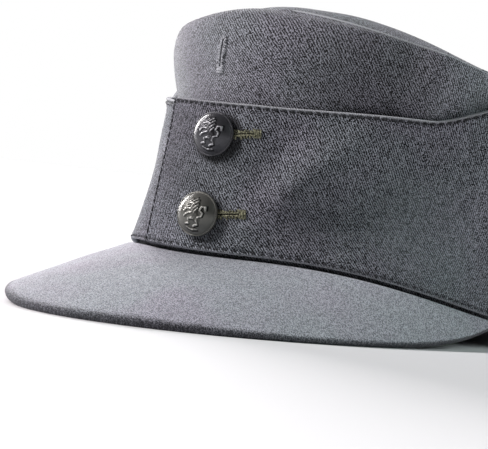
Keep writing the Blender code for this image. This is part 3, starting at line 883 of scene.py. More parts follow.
@dataclass(frozen=True)
class WoolCloth:
    """Uniform wool cloth spun from mixed dark and light fibres and left matt.

    A twill shows diagonal ribs about 0.8 mm apart, uneven and broken into short floats of yarn,
    with dark and pale fibres mixed like salt and pepper. A milled cloth hides its ribs under a
    felted face of fine, even grain. Neither has gloss, only the pale bloom of wool at a grazing
    angle. Single fibres are far too fine to show at this size, so their mixture is drawn as
    coarse as 0.4 mm.
    """

    name: str
    weave: Weave
    dark: str
    light: str
    rib_mm: float = 0.80
    float_mm: float = 1.4
    rib_lean: float = math.radians(-56.0)
    hair: Grain = Grain(0.40, 0.10, 1.5, 0.7)
    blotch: Grain = Grain(2.4, 0.20)
    dye_drift: Grain = Grain(32.0, 0.12)
    dye_tints: tuple[str, str] = ("#FFFBFF", "#FAFFFD")
    spread: tuple[float, float] = (0.455, 0.605)
    relief_mm: float = 0.34
    sheen: float = 0.08
    stitch_lines: tuple[StitchLine, ...] = ()
    slits: tuple[Slit, ...] = ()
    # Painted shade in stitch grooves, needle holes and cuts
    cut_shade_colour: str = "#0B0B0D"
    cut_mm: float = 0.6
    patches: tuple[Patch, ...] = ()
    # Pale line along folds and ridges: rubbed pile and a painted highlight
    worn_and_highlit_edge: str | None = None
    worn_and_highlit_colour: str = "#BEC0C5"
    worn_and_highlit_reach: tuple[float, float] = (0.0004, 0.0012)
    wear_and_highlight_share: float = 0.75
    # Painted shade along an edge, by the attribute that measures the distance from it
    shaded_edge: str | None = None
    edge_shade_colour: str = "#222327"
    edge_shade_reach: tuple[float, float] = (0.0012, 0.0047)
    edge_shade_unevenness: float = 0.0022
    edge_shade_share: float = 0.85

    def material(self) -> bpy.types.Material:
        """Build the node material.

        Returns:
            The finished material.
        """
        material, tree, shader = start_material(self.name)
        place = add_node(tree, PLACE, output="Object")
        uv = add_node(tree, "ShaderNodeUVMap", uv_map=CLOTH_MAP)
        mixed, height = self.pattern(tree, place, uv)
        share = add_node(tree, RANGE, {0: mixed, 1: self.spread[0], 2: self.spread[1]})
        colour = {0: share, 6: linear(self.dark), 7: linear(self.light)}
        colour = add_node(tree, MIX, colour, 2, data_type="RGBA")
        # Each dye lot and each hand's wear drifts between a violet and a greenish grey
        violet, green = (linear(code) for code in self.dye_tints)
        tint = {0: self.dye_drift.spots(tree, place), 6: violet, 7: green}
        tint = add_node(tree, MIX, tint, 2, data_type="RGBA")
        tint = {0: 1.0, 6: colour, 7: tint}
        colour = add_node(tree, MIX, tint, 2, data_type="RGBA", blend_type="MULTIPLY")
        relief = {"Height": height, "Distance": self.relief_mm / 1000.0, "Strength": 0.9}
        normal = add_node(tree, BUMP, relief)
        layers = self.layers(tree, uv, mixed)
        if self.stitch_lines or self.slits:
            dark, deep = self.cuts(tree, uv)
            # Painted shade in the stitch grooves, the needle holes and the cuts
            layers.append((dark, self.cut_shade_colour))
            flat = add_node(tree, MATH, {0: 1.0, 1: deep}, operation="SUBTRACT")
            sunk = {"Height": flat, "Distance": self.cut_mm / 1000.0, "Strength": 0.8}
            normal = add_node(tree, BUMP, {**sunk, "Normal": normal})
        for cover, code in layers:
            colour = {0: cover, 6: colour, 7: linear(code)}
            colour = add_node(tree, MIX, colour, 2, data_type="RGBA")
        finish = {"Base Color": colour, "Normal": normal, "Roughness": 0.92}
        finish |= {"Specular IOR Level": 0.18, "Sheen Weight": self.sheen, "Sheen Roughness": 0.55}
        set_inputs(tree, shader, finish)
        return material

    def pattern(self, tree: Tree, place: Socket, uv: Socket) -> tuple[Socket, Socket]:
        """Dark and pale fibres mixed, over the ribs of a twill or the faint threads of a felt.

        A twill's yarn is a weighted sum of uneven bands across the rib direction and of short
        floats along it. A milled cloth has no bands, and its threads run across the peak.

        Args:
            tree: The material's nodes.
            place: Coordinates in metres.
            uv: Pattern coordinates in metres, round and up the cap.

        Returns:
            The colour pattern and the surface height, each from 0 to 1.
        """
        fine, slow = self.hair.spots(tree, place), self.blotch.spots(tree, place)
        size = (self.float_mm / 1000.0, self.rib_mm / 1000.0, 1.0)
        ribs = {0: uv, 2: (0.0, 0.0, self.rib_lean), 3: size}
        ribs = add_node(tree, MAPPING, ribs, vector_type="TEXTURE")
        if self.weave is Weave.MILLED:
            threads = Grain(1.0 / 1.8, 0.18).spots(tree, ribs, 1.0)
            mixed = weighted(tree, (slow, 0.12), (threads, 0.38), (fine, 0.50))
            return mixed, mixed
        # A scale of pi over ten makes the bands one rib apart
        bands: Inputs = {0: ribs, "Scale": math.pi / 10.0, "Distortion": 2.2}
        bands |= {"Detail": 1.0, "Detail Scale": 1.8}
        wave = add_node(tree, "ShaderNodeTexWave", bands, "Fac", bands_direction="Y")
        floats = Grain(1.0 / 1.6, 0.16).spots(tree, ribs, 1.0)
        yarn = weighted(tree, (wave, 0.68), (floats, 0.32))
        mixed = weighted(tree, (slow, 0.08), (fine, 0.42), (yarn, 0.50))
        return mixed, weighted(tree, (fine, 0.35), (yarn, 0.65))

    def layers(self, tree: Tree, uv: Socket, mixed: Socket) -> list[tuple[Socket, str]]:
        """What wear, painted highlights and painted shade lay over the cloth's own colour, in
        order.

        Args:
            tree: The material's nodes.
            uv: Pattern coordinates in metres.
            mixed: The colour pattern, which makes the painted edge shade uneven.

        Returns:
            The share and the colour of each layer.
        """
        layers = []
        if self.worn_and_highlit_edge:
            # The pile of folds and seam ridges is rubbed pale, and this pale line also carries a
            # painted highlight
            edge = add_node(tree, MARK, output="Fac", attribute_name=self.worn_and_highlit_edge)
            pale = dict(enumerate((edge, *self.worn_and_highlit_reach, self.wear_and_highlight_share, 0.0)))
            layers.append((add_node(tree, RANGE, pale), self.worn_and_highlit_colour))
        if self.shaded_edge:
            # Painted shade on the peak's downturned edge band and in the crease at the rim under
            # the flap
            edge = add_node(tree, MARK, output="Fac", attribute_name=self.shaded_edge)
            edge = {0: mixed, 1: self.edge_shade_unevenness, 2: edge}
            edge = add_node(tree, MATH, edge, operation="MULTIPLY_ADD")
            dark = dict(enumerate((edge, *self.edge_shade_reach, self.edge_shade_share, 0.0)))
            layers.append((add_node(tree, RANGE, dark), self.edge_shade_colour))
        return layers + [(patch.cover(tree, uv), patch.colour) for patch in self.patches]

    def cuts(self, tree: Tree, uv: Socket) -> tuple[Socket, Socket]:
        """Painted shade and depth where stitches pull the cloth in and where it is cut: the
        strongest mark counts.

        Args:
            tree: The material's nodes.
            uv: Pattern coordinates in metres.

        Returns:
            A share of painted shade and a share of depth.
        """
        marks = [mark.shades(tree, uv) for mark in (*self.stitch_lines, *self.slits)]
        dark, deep = marks[0]
        for more in marks[1:]:
            dark, deep = (
                add_node(tree, MATH, {0: one, 1: other}, operation="MAXIMUM")
                for one, other in zip((dark, deep), more)
            )
        return dark, deep


@dataclass(frozen=True)
class SewingThread:
    """Twisted cotton thread, dull, whose plies shade into each other along its length."""

    name: str
    dark: str
    light: str
    ply: Grain = Grain(0.55, 0.14, 2.0, 0.7)

    def material(self) -> bpy.types.Material:
        """Build the node material.

        Returns:
            The finished material.
        """
        material, tree, shader = start_material(self.name)
        grain = self.ply.spots(tree, add_node(tree, PLACE, output="Object"))
        colour = {0: grain, 6: linear(self.dark), 7: linear(self.light)}
        colour = add_node(tree, MIX, colour, 2, data_type="RGBA")
        normal = add_node(tree, BUMP, {"Height": grain, "Distance": 0.0001, "Strength": 0.7})
        finish = {"Roughness": 0.85, "Specular IOR Level": 0.2, "Sheen Weight": 0.1}
        set_inputs(tree, shader, {"Base Color": colour, "Normal": normal, **finish})
        return material


@dataclass(frozen=True)
class PaintedButtonMetal:
    """Struck metal under thin satin paint, rubbed and given a painted highlight on its highest
    parts, with painted shade in its hollows.

    The blow of the die leaves the sheet smooth, so only the paint's own grain of about half a
    millimetre breaks the gloss.
    """

    name: str
    paint: str
    rubbed_paint_and_highlight: str
    hollow_shade: str
    rough: float = 0.36
    grain_mm: float = 0.6
    metallic: float = 0.55

    def material(self) -> bpy.types.Material:
        """Build the node material.

        Returns:
            The finished material.
        """
        material, tree, shader = start_material(self.name)
        fleck: Inputs = {"Vector": add_node(tree, PLACE, output="Object")}
        fleck |= {"Scale": 1000.0 / self.grain_mm, "Detail": 3.0, "Roughness": 0.6}
        grain = add_node(tree, NOISE, fleck)
        raised, sunk = (
            add_node(tree, MARK, output="Fac", attribute_name=mark) for mark in ("raised", "sunk")
        )
        # Painted shade in the hollows beside the figure
        hollow = add_node(tree, RANGE, {0: sunk, 1: 0.15, 2: 0.80, 3: 0.0, 4: 0.95})
        # Rubbed paint and a painted highlight on the figure and the rim's top
        rubbed_and_highlit = add_node(tree, MATH, {0: grain, 1: 0.45, 2: raised}, operation="MULTIPLY_ADD")
        rubbed_and_highlit = add_node(tree, RANGE, {0: rubbed_and_highlit, 1: 0.85, 2: 1.30})
        colour = linear(self.paint)
        for cover, code in ((hollow, self.hollow_shade), (rubbed_and_highlit, self.rubbed_paint_and_highlight)):
            colour = {0: cover, 6: colour, 7: linear(code)}
            colour = add_node(tree, MIX, colour, 2, data_type="RGBA")
        normal = add_node(tree, BUMP, {"Height": grain, "Distance": 0.00016, "Strength": 0.7})
        rough = {0: grain, 1: 0.3, 2: 0.7, 3: self.rough - 0.06, 4: self.rough + 0.12}
        finish = {"Base Color": colour, "Normal": normal, "Metallic": self.metallic}
        set_inputs(tree, shader, {**finish, "Roughness": add_node(tree, RANGE, rough)})
        return material


@dataclass(frozen=True)
class PaleFloor:
    """Plain matt studio floor."""

    name: str = "pale_studio_floor"
    colour: str = "#DEDEDF"

    def material(self) -> bpy.types.Material:
        """Build the plain material.

        Returns:
            The finished material.
        """
        material, tree, shader = start_material(self.name)
        finish = {"Base Color": linear(self.colour), "Roughness": 0.9, "Specular IOR Level": 0.1}
        set_inputs(tree, shader, finish)
        return material


# Pieces


def dress(piece: Piece, material: bpy.types.Material, slot: str, *nodes: str) -> Piece:
    """Give a piece its material and body, and hide the solids that it stands for.

    Args:
        piece: The finished piece.
        material: Its material.
        slot: Not used.
        nodes: Solids that it replaces.

    Returns:
        The piece.
    """
    piece.data.materials.append(material)
    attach(piece, BODY)
    if nodes:
        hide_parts(*nodes)
    triangles = sum(len(p.vertices) - 2 for p in piece.data.polygons)
    log.info("%s: %d triangles", piece.name, triangles)
    return piece


def rounded_edge(radius: float, steps: int, squareness: float = 2.0) -> Mesh:
    """Section of a rounded cloth edge, from its tip to where the cloth has its full thickness.

    The section is a superellipse: with a squareness of 2 it is a half circle.

    Args:
        radius: Half of the thickness.
        steps: How many places.
        squareness: Power of the superellipse.

    Returns:
        Places from the tip, and the half thickness at each.
    """
    blunt_tip = math.radians(14.0)
    angle = np.linspace(blunt_tip, math.pi / 2.0, steps)
    half = radius * np.sin(angle) ** (2.0 / squareness)
    place = radius * (1.0 - np.cos(angle) ** (2.0 / squareness))
    return place - place[0], half


def skins(middle: Array, way: Array, half: Array) -> Mesh:
    """Outer and inner skin of a cloth from its middle, its ways out and its half thickness."""
    return middle + way * half, middle - way * half


@dataclass
class Crown:
    """The crown: a side cloth that rises from the rim, and a domed top panel sewn into it."""

    finish: WoolCloth
    top_finish: WoolCloth
    columns: int = 360
    top_columns: int = 220
    seam_ridge: float = 0.0010
    ridge_row: float = 5.95
    ridge_width: float = 0.17
    ridge_start: float = math.radians(7.0)
    ridge_full: float = math.radians(16.0)
    far_ridge_start: float = math.radians(38.0)
    far_ridge_full: float = math.radians(60.0)
    panel_inset: float = 0.0002
    panel_tuck: float = 0.0012
    panel_edge_power: int = 3
    panel_dome_power: int = 4
    panel_puff_power: float = 1.5
    panel_calm: float = 0.012
    panel_unevenness: float = 0.000352
    tuck_hill: tuple[float, float] = (0.0009, 0.0011)
    pucker_hill: tuple[float, float] = (0.0020, 0.0040)
    unevenness: float = 0.00022
    pucker: float = 0.00010
    pucker_pitch: float = 0.0062
    seam_pucker_width: float = 0.9
    rolled_pucker_share: float = 0.15
    fold_start: tuple[float, float] = (0.64, 0.76)
    fold_end: tuple[float, float] = (0.94, 1.00)
    edge_steps: int = 5

    # First and last wall row and how many: few behind the flap, many where the cloth shows
    row_runs: tuple[tuple[float, float, int], ...] = (
        (0.25, 2.40, 9),
        (2.50, 4.50, 30),
        (4.56, 6.28, 34),
    )

    # Rings of the top panel: distances from its edge, and then shares of the way outwards
    edge_rings: tuple[float, ...] = (0.0014, 0.0019, 0.0025, 0.0033, 0.0044)
    inner_rings: tuple[float, float, int] = (0.93, 0.02, 42)

    fold_rows: tuple[Fold, ...] = (
        Fold("temple", 53.0, 0.84, 86.0, 0.110, 0.036, 1.55),
        Fold("temple hollow", 68.0, 0.84, 86.0, 0.120, 0.038, -1.50),
        Fold("far temple", -62.0, 0.84, 95.0, 0.120, 0.040, 0.70),
        Fold("back", 165.0, 0.85, 90.0, 0.120, 0.070, -0.70),
    )

    def ridge_share(self, t: Array) -> Array:
        """1 where the seam stands up as a ridge, and 0 over the front, where it is rolled flat."""
        near = smoothstep(self.ridge_start, self.ridge_full, t)
        return near + smoothstep(self.far_ridge_start, self.far_ridge_full, -t)

    def ripple(self, t: Array, phase: float = 0.0) -> Array:
        """Puckers that the stitches draw into the seam: a sine along it."""
        return self.pucker * np.sin(2.0 * math.pi * SHAPE.girth(t) / self.pucker_pitch + phase)

    def skin(self, t: Array, row: Array) -> Array:
        """Outer skin of the side cloth: the wall, its folds, slow waves and the seam's ridge.

        Args:
            t: Angle from the front.
            row: Place along the wall rows.

        Returns:
            Points of the skin.
        """
        points = SHAPE.wall(t, row)
        rim, seam = SHAPE.rim(t), SHAPE.seam(t)
        share = (points[..., 2] - rim) / (seam - rim)
        calm = 1.0 - smoothstep(*self.fold_end, row / SHAPE.seam_row)
        calm = smoothstep(*self.fold_start, share) * calm
        push = SHAPE.folds(self.fold_rows, t, share, SHAPE.crown_cloth)
        push = push + soft_waves(SHAPE.girth(t), share * SHAPE.crown_front, self.unevenness)
        points = points + SHAPE.outward(t) * (push * calm)[..., None]
        lift = self.seam_ridge * hill(row, self.ridge_row, self.ridge_width) * self.ridge_share(t)
        sewn = 1.0 - (1.0 - self.rolled_pucker_share) * SHAPE.roll_share(t)
        lift = lift + self.ripple(t) * hill(row, SHAPE.seam_row, self.seam_pucker_width) * sewn
        return points + lift[..., None] * UP

    def surface(self, t: Array, v: Array) -> Array:
        """Outside of the crown at an angle and a height above the rim."""
        return self.skin(t, SHAPE.row_at(t, v + SHAPE.rim(t)))

    def build_side(self) -> Piece:
        """Make the side cloth, a round sheet from the rim to the top seam.

        Returns:
            The piece.
        """
        t = np.linspace(-math.pi, math.pi, self.columns, endpoint=False)[None, :]
        places, half = rounded_edge(SHAPE.crown_cloth / 2.0, self.edge_steps)
        low = places / (SHAPE.wall_rows[1][1] * SHAPE.crown_front)
        turned = SHAPE.wall_rows[SHAPE.crest][3] - SHAPE.wall_rows[SHAPE.seam_row][3]
        turned = turned * SHAPE.rim_length / 2.0 * SHAPE.ledge(t)
        high = SHAPE.seam_row - places[::-1, None] / turned
        between = np.concatenate([np.linspace(*run) for run in self.row_runs])
        row = np.concatenate((low, between))[:, None] * np.ones_like(t)
        row = np.concatenate((row, high))
        half = np.concatenate((half, np.full(len(between), SHAPE.crown_cloth / 2.0), half[::-1]))
        skin = self.skin(t, row)
        way = normals_of(skin, True)
        outer, inner = skins(skin - way * SHAPE.crown_cloth / 2.0, way, half[:, None, None])
        rise = np.linalg.norm(np.diff(skin, axis=0), axis=-1)
        v = np.concatenate((np.zeros((1, self.columns)), np.cumsum(rise, axis=0)))
        u = SHAPE.girth(np.append(t[0], math.pi))
        uv = np.stack(np.broadcast_arrays(u[None, :], np.concatenate((v, v[:, :1]), axis=1)), -1)
        # The pale line of rubbed pile and painted highlight lies on the outer flank of the ridge,
        # and ends where the seam is rolled
        flank, far_off = 0.09, 0.01
        ridge = np.argmin(np.abs(row[:, 0] - self.ridge_row + flank))
        from_ridge = 2.0 * np.abs(v - v[ridge]) + far_off * (1.0 - self.ridge_share(t))
        marks = {"from_ridge": from_ridge, "from_hem": v}
        piece = make_sheet("crown_side_cloth", outer, inner, True, uv, marks)
        return dress(piece, self.finish.material(), "crown_cloth", "crown_side")

    def panel(self, t: Array, reach: Array) -> Array:
        """Upper skin of the top panel.

        The edge follows the seam line. Inward the height goes over to a sloping plane with a
        dome on it that is fuller in front, and just inside the seam the cloth is drawn down.

        Args:
            t: Angle round the cap.
            reach: Share of the way from the middle to the seam.

        Returns:
            Points of the skin.
        """
        edge = SHAPE.wall(t, np.float64(SHAPE.seam_row))
        edge = edge - SHAPE.outward(t) * (SHAPE.gap + self.panel_inset)
        slope = (SHAPE.crown_back - SHAPE.crown_front) / SHAPE.rim_length
        x, y = edge[..., 0] * reach, edge[..., 1] * reach
        middle_height = (SHAPE.crown_front + SHAPE.crown_back) / 2.0
        off_plane = edge[..., 2] - (middle_height + slope * edge[..., 1])
        forward = np.clip(-y / (SHAPE.rim_length / 2.0), 0.0, None)
        dome = SHAPE.top_dome + SHAPE.top_front_puff * forward**self.panel_puff_power
        z = middle_height + slope * y + off_plane * reach**self.panel_edge_power
        z = z + dome * (1.0 - reach**self.panel_dome_power)
        inland = (1.0 - reach) * SHAPE.rim_width / 2.0
        calm = smoothstep(0.0, self.panel_calm, inland)
        z = z + soft_waves(x, y, self.panel_unevenness, seed=5) * calm
        z = z - self.panel_tuck * hill(inland, *self.tuck_hill)
        z = z + self.ripple(t, phase=1.3) * hill(inland, *self.pucker_hill)
        return np.stack(np.broadcast_arrays(x, y, z), -1)

    def build_top(self) -> Piece:
        """Make the top panel, a disc of cloth with a round edge along the seam.

        Returns:
            The piece.
        """
        t = np.linspace(-math.pi, math.pi, self.top_columns, endpoint=False)[None, :]
        places, half = rounded_edge(SHAPE.crown_cloth / 2.0, self.edge_steps)
        radius = SHAPE.rim_width / 2.0
        rings = 1.0 - np.array(self.edge_rings) / radius
        rings = np.concatenate((rings, np.linspace(*self.inner_rings)))
        reach = np.concatenate((1.0 - places / radius, rings))[:, None]
        half = np.concatenate((half, np.full(len(rings), SHAPE.crown_cloth / 2.0)))
        skin = self.panel(t, reach)
        way = normals_of(skin, True)
        way[: len(places)] = way[len(places)]
        outer, inner = skins(skin - way * SHAPE.crown_cloth / 2.0, way, half[:, None, None])
        centre = self.panel(np.zeros((1, 1)), np.zeros((1, 1)))[0, 0]
        uv = np.concatenate((skin, skin[:, :1]), axis=1)[..., :2]
        pole = (centre, centre - UP * SHAPE.crown_cloth)
        piece = make_sheet("crown_top_cloth", outer, inner, True, uv, {}, pole)
        return dress(piece, self.top_finish.material(), "crown_cloth", "crown_top")

    def build(self) -> None:
        """Make the side and the top."""
        self.build_side()
        self.build_top()


@dataclass(frozen=True)
class Topstitch:
    """A row of straight machine stitches, each a short thread whose ends go into the cloth."""

    pitch: float = 0.0028
    share: float = 0.62
    radius: float = 0.00024
    sink: float = -0.000252
    places: int = 7

    def along(self, line: Array, out: Array, run: Array) -> Mesh:
        """Threads of equal length along a line on the cloth.

        Each thread's middle stands a little over the line and its ends go into the cloth: its
        height is the sink plus a half sine along it.

        Args:
            line: Points of the line.
            out: Direction out of the cloth at each.
            run: Pattern coordinate along the line, so that the stitches meet the finish's dimples.

        Returns:
            Points and quads.
        """
        order = np.argsort(run)
        run, line, out = run[order], line[order], out[order]
        first, last = math.ceil(run[0] / self.pitch), math.floor(run[-1] / self.pitch)
        start = (np.arange(first, last) + 0.5) * self.pitch
        step = np.linspace(-0.5, 0.5, self.places)
        at = start[:, None] + step * self.pitch * self.share
        path, way = (
            np.stack([np.interp(at, run, values[:, i]) for i in range(3)], -1)
            for values in (line, out)
        )
        bow = np.cos(step * math.pi)
        height = self.sink - self.radius * 0.6 + (self.radius * 1.5 - self.sink) * bow
        return strands(path + way * height[:, None], way, self.radius * (0.55 + 0.45 * bow))


@dataclass
class Flap:
    """One half of the fold-up flap, from the buttoned front to the seam at the back."""

    side: Side
    finish: WoolCloth | None = None
    thread: bpy.types.Material | None = None
    front: float = 0.0559
    side_rise: float = 0.0089
    scoop: float = 0.0098
    back: float = 0.0600
    raise_off_rim: float = 0.0012
    standoff: float = 0.0008
    corner: float = 0.0040
    corner_drop: float = 0.0024
    under_drop: float = 0.0012
    lap: float = 0.0243
    lap_slant: float = 0.0040
    underlap: float = 0.0140
    swell: float = 0.0007
    scoop_start: float = math.radians(54.5)
    scoop_full: float = math.radians(74.0)
    lap_ease_start: float = 0.02
    lap_ease: float = 0.22
    under_drop_ease: float = 1.00
    fold_ease: float = 0.35
    back_calm: tuple[float, float] = (2.75, 3.10)
    standoff_low_share: float = 0.35
    lap_press_share: float = 0.70
    lap_edge_power: float = 0.6
    stitch: Topstitch = Topstitch()
    stitch_inset: float = 0.0013
    stitch_run: tuple[float, float] = (0.03, 0.97)
    stitch_end: float = 0.012
    groove: float = 0.00028
    groove_width: float = 0.00042
    base_groove_share: float = 0.25
    hem_puff: float = 0.00016
    hem_hills: tuple[tuple[float, float], ...] = ((0.0006, 0.0005), (0.0026, 0.0010))
    unevenness: float = 0.00030
    wear_and_highlight_fade: tuple[float, float] = (0.005, 0.040)
    base_wear_and_highlight_lag: float = 0.0005
    edge_steps: int = 7
    edge_squareness: float = 3.0
    first_step: float = 0.00034
    up_steps: tuple[float, float] = (1.16, 0.00120)
    round_steps: tuple[float, float] = (1.12, 0.00135)

    fold_rows: tuple[Fold, ...] = (
        Fold("diagonal", 28.0, 0.48, 54.0, 0.210, 0.050, 1.80),
        Fold("inner hollow", 18.0, 0.60, 54.0, 0.150, 0.045, -0.80),
        Fold("hollow", 43.0, 0.38, 62.0, 0.180, 0.056, -1.05),
        Fold("side", 66.0, 0.45, 70.0, 0.200, 0.050, 0.35),
        Fold("far side", -60.0, 0.50, 100.0, 0.220, 0.060, 0.40),
        Fold("back", 150.0, 0.55, 95.0, 0.200, 0.080, 0.45),
        Fold("far back", -140.0, 0.50, 85.0, 0.200, 0.080, 0.45),
    )

    def end_angle(self, share: Array) -> Array:
        """Angle of the front edge, counted on this half's own side of the middle.

        Args:
            share: Share of the flap's height.

        Returns:
            The angle at each height: the lapping edge slants, the one under it is upright.
        """
        if self.side is Side.LEFT:
            slant = self.lap_slant * (share**self.lap_edge_power - 1.0)
            return -SHAPE.angle_of(self.lap + slant)
        return np.full(np.shape(share), -float(SHAPE.angle_of(self.underlap)))

    def from_end(self, own: Array, share: Array) -> Array:
        """Distance from the front edge, for an angle on this half's own side."""
        return (own - self.end_angle(share)) * SHAPE.rim_width / 2.0

    def top_height(self, t: Array) -> Array:
        """Upper edge: level in front, scooped up to the sides and lower behind.

        Args:
            t: Angle from the front.

        Returns:
            The height at each angle.
        """
        side = np.sin(t) ** 2
        scoop = self.scoop * smoothstep(self.scoop_start, self.scoop_full, np.abs(t))
        forward = self.front + self.side_rise * side + scoop
        behind = self.back + (self.front + self.side_rise + self.scoop - self.back) * side
        return np.where(np.cos(t) > 0.0, forward, behind)

    def bottom_height(self, t: Array) -> Array:
        """Lower edge, a little above the rim."""
        return SHAPE.rim(t) + self.raise_off_rim

    def height(self, t: Array) -> Array:
        """Height of the flap at an angle."""
        return self.top_height(t) - self.bottom_height(t)

    def drop(self, t: Array, share: Array) -> Array:
        """How much the upper edge is lowered: a quarter circle at the lapping corner, or a step.

        Args:
            t: Angle from the front.
            share: Share of the flap's height.

        Returns:
            The drop at each point.
        """
        own = t * self.side.value
        if self.side is Side.LEFT:
            corner = np.clip(1.0 - self.from_end(own, share) / self.corner, 0.0, 1.0)
            return self.corner_drop * (1.0 - np.sqrt(1.0 - corner**2))
        lap = float(SHAPE.angle_of(self.lap))
        return self.under_drop * (1.0 - smoothstep(lap, lap + self.under_drop_ease, own))

    def offset(self, t: Array, share: Array) -> Array:
        """How far the middle of the cloth stands off the crown.

        It is the gap and half a thickness, a stand-off that grows upwards, the thickness of
        the lower half where this one laps over it, and folds and swell away from the buttons.

        Args:
            t: Angle round the cap.
            share: Share of the flap's height.

        Returns:
            The distance at each point.
        """
        own = t * self.side.value
        lap, under = float(SHAPE.angle_of(self.lap)), float(SHAPE.angle_of(self.underlap))
        stand = self.standoff * (self.standoff_low_share + (1.0 - self.standoff_low_share) * share)
        if self.side is Side.LEFT:
            start = under + self.lap_ease_start
            over = 1.0 - smoothstep(start, start + self.lap_ease, own)
            layer = (SHAPE.flap_cloth + SHAPE.gap) * over
        else:
            under_lap = 1.0 - smoothstep(lap, lap + self.lap_ease, own)
            layer = -self.lap_press_share * stand * under_lap
        waves = soft_waves(SHAPE.girth(t), share * self.front, self.unevenness, seed=8)
        push = SHAPE.folds(self.fold_rows, t, share, SHAPE.flap_cloth) + self.swell + waves
        calm = smoothstep(under, under + self.fold_ease, np.abs(t))
        calm = calm * (1.0 - smoothstep(*self.back_calm, np.abs(t)))
        return SHAPE.gap + SHAPE.flap_cloth / 2.0 + stand + layer + push * calm

    def middle(self, t: Array, share: Array) -> Array:
        """Middle of the cloth's thickness: the crown's wall, moved out by the offset.

        Args:
            t: Angle from the front.
            share: Share of the flap's height.

        Returns:
            Points of the middle surface.
        """
        low = self.bottom_height(t)
        z = low + share * (self.top_height(t) - self.drop(t, share) - low)
        points = SHAPE.wall(t, SHAPE.row_at(t, z))
        points[..., 2] = z
        return points + SHAPE.outward(t) * self.offset(t, share)[..., None]

    def surface(self, t: Array, v: Array) -> Array:
        """Outer face at an angle and a height above the flap's lower edge."""
        return self.middle(t, v / self.height(t)) + SHAPE.outward(t) * SHAPE.flap_cloth / 2.0

    def sewn_relief(self, from_end: Array, from_top: Array, from_base: Array) -> Array:
        """Relief of the stitched hems: two puffed hills beside a groove along each row.

        Args:
            from_end: Distance from the front edge.
            from_top: Distance from the upper edge.
            from_base: Distance from the lower edge.

        Returns:
            The relief at each point.
        """
        total = np.zeros(np.broadcast(from_end, from_top).shape)
        edges = [(from_top, 1.0), (from_base, self.base_groove_share)]
        if self.side is Side.LEFT:
            edges.append((from_end, 1.0))
        for edge, depth in edges:
            for place, width in self.hem_hills:
                total = total + self.hem_puff * hill(edge, place, width)
            total = total - self.groove * depth * hill(edge, self.stitch_inset, self.groove_width)
        return total

    def edged(self, length: float, growth: float, largest: float) -> Mesh:
        """Places across the cloth with both edges rounded, closest together along the edges.

        Args:
            length: Length across.
            growth: How much each step grows.
            largest: Largest step.

        Returns:
            Shares of the length, and the cloth's half thickness at each.
        """
        tip, half = rounded_edge(SHAPE.flap_cloth / 2.0, self.edge_steps, self.edge_squareness)
        flat = graded(length - 2.0 * tip[-1], self.first_step, growth, largest)[1:-1] + tip[-1]
        places = np.concatenate((tip, flat, length - tip[::-1]))
        return places / length, np.concatenate((half, np.full(len(flat), half[-1]), half[::-1]))

    def build_cloth(self) -> Piece:
        """Make the cloth.

        Returns:
            The piece.
        """
        seam = math.pi - SHAPE.gap / SHAPE.rim_width
        share, half_v = self.edged(self.front - self.raise_off_rim, *self.up_steps)
        share = share[:, None]
        around = float(SHAPE.girth(np.array(math.pi))) + self.lap
        step, half_u = self.edged(around, *self.round_steps)
        own = self.end_angle(share) + (seam - self.end_angle(share)) * step[None, :]
        t = own * self.side.value
        way = SHAPE.outward(t)
        from_end = self.from_end(own, share) * SHAPE.front_width_share
        from_top = (1.0 - share) * (self.height(t) - self.drop(t, share))
        from_base = share * self.height(t)
        half = half_v[:, None, None] * half_u[:, None] / (SHAPE.flap_cloth / 2.0)
        outer, inner = skins(self.middle(t, share), way, half)
        outer = outer + way * self.sewn_relief(from_end, from_top, from_base)[..., None]
        # Distance for the pale line of wear and painted highlight, fainter along the lower edge and
        # towards the front
        less_wear_and_highlight = 1.0 - smoothstep(*self.wear_and_highlight_fade, from_end)
        from_fold = np.minimum(from_top, from_base + self.base_wear_and_highlight_lag)
        from_fold = from_fold + self.base_wear_and_highlight_lag * less_wear_and_highlight
        uv = np.stack((SHAPE.girth(t), from_base), -1)
        marks = {"from_end": from_end, "from_top": from_top, "from_base": from_base}
        marks["from_fold"] = from_fold
        if self.side is Side.RIGHT:
            outer, inner, uv = outer[:, ::-1], inner[:, ::-1], uv[:, ::-1]
            marks = {key: value[:, ::-1] for key, value in marks.items()}
        name = f"flap_{self.side.name.lower()}"
        piece = make_sheet(f"{name}_cloth", outer, inner, False, uv, marks)
        return dress(piece, self.finish.material(), "flap_cloth", name)

    def stitch_paths(self) -> list[tuple[Array, Array, Array]]:
        """Rows of topstitching: along the top, along the base and, on the lap, up its end.

        Returns:
            Angle, height and pattern coordinate of points along each row, front first.
        """
        fine = np.linspace(0.0, 1.0, 1500)
        inset = self.stitch_inset
        turn = inset / (SHAPE.rim_width / 2.0 * SHAPE.front_width_share)
        start = self.end_angle(np.ones(1))[0] + turn
        t = (start + (math.pi - self.stitch_end - start) * fine) * self.side.value
        top = self.height(t) - self.drop(t, np.ones_like(t)) - inset
        paths = [(t, v, SHAPE.girth(t)) for v in (top, np.full_like(t, inset))]
        if self.side is Side.LEFT:
            share = np.linspace(*self.stitch_run, len(fine))
            t = self.end_angle(share) + turn
            v = share * self.height(t)
            paths.append((t, v, v))
        return paths

    def build_stitches(self) -> Piece:
        """Make the topstitches: short threads that dip into the cloth at both ends.

        Returns:
            The piece.
        """
        points, quads = join_meshes(
            [
                self.stitch.along(self.surface(t, v), SHAPE.outward(t), run)
                for t, v, run in self.stitch_paths()
            ]
        )
        name = f"flap_{self.side.name.lower()}_topstitching"
        return dress(make_mesh(name, REST.place(points), [quads]), self.thread, "flap_cloth")

    def build(self) -> None:
        """Make the cloth and its stitches."""
        self.build_cloth()
        self.build_stitches()


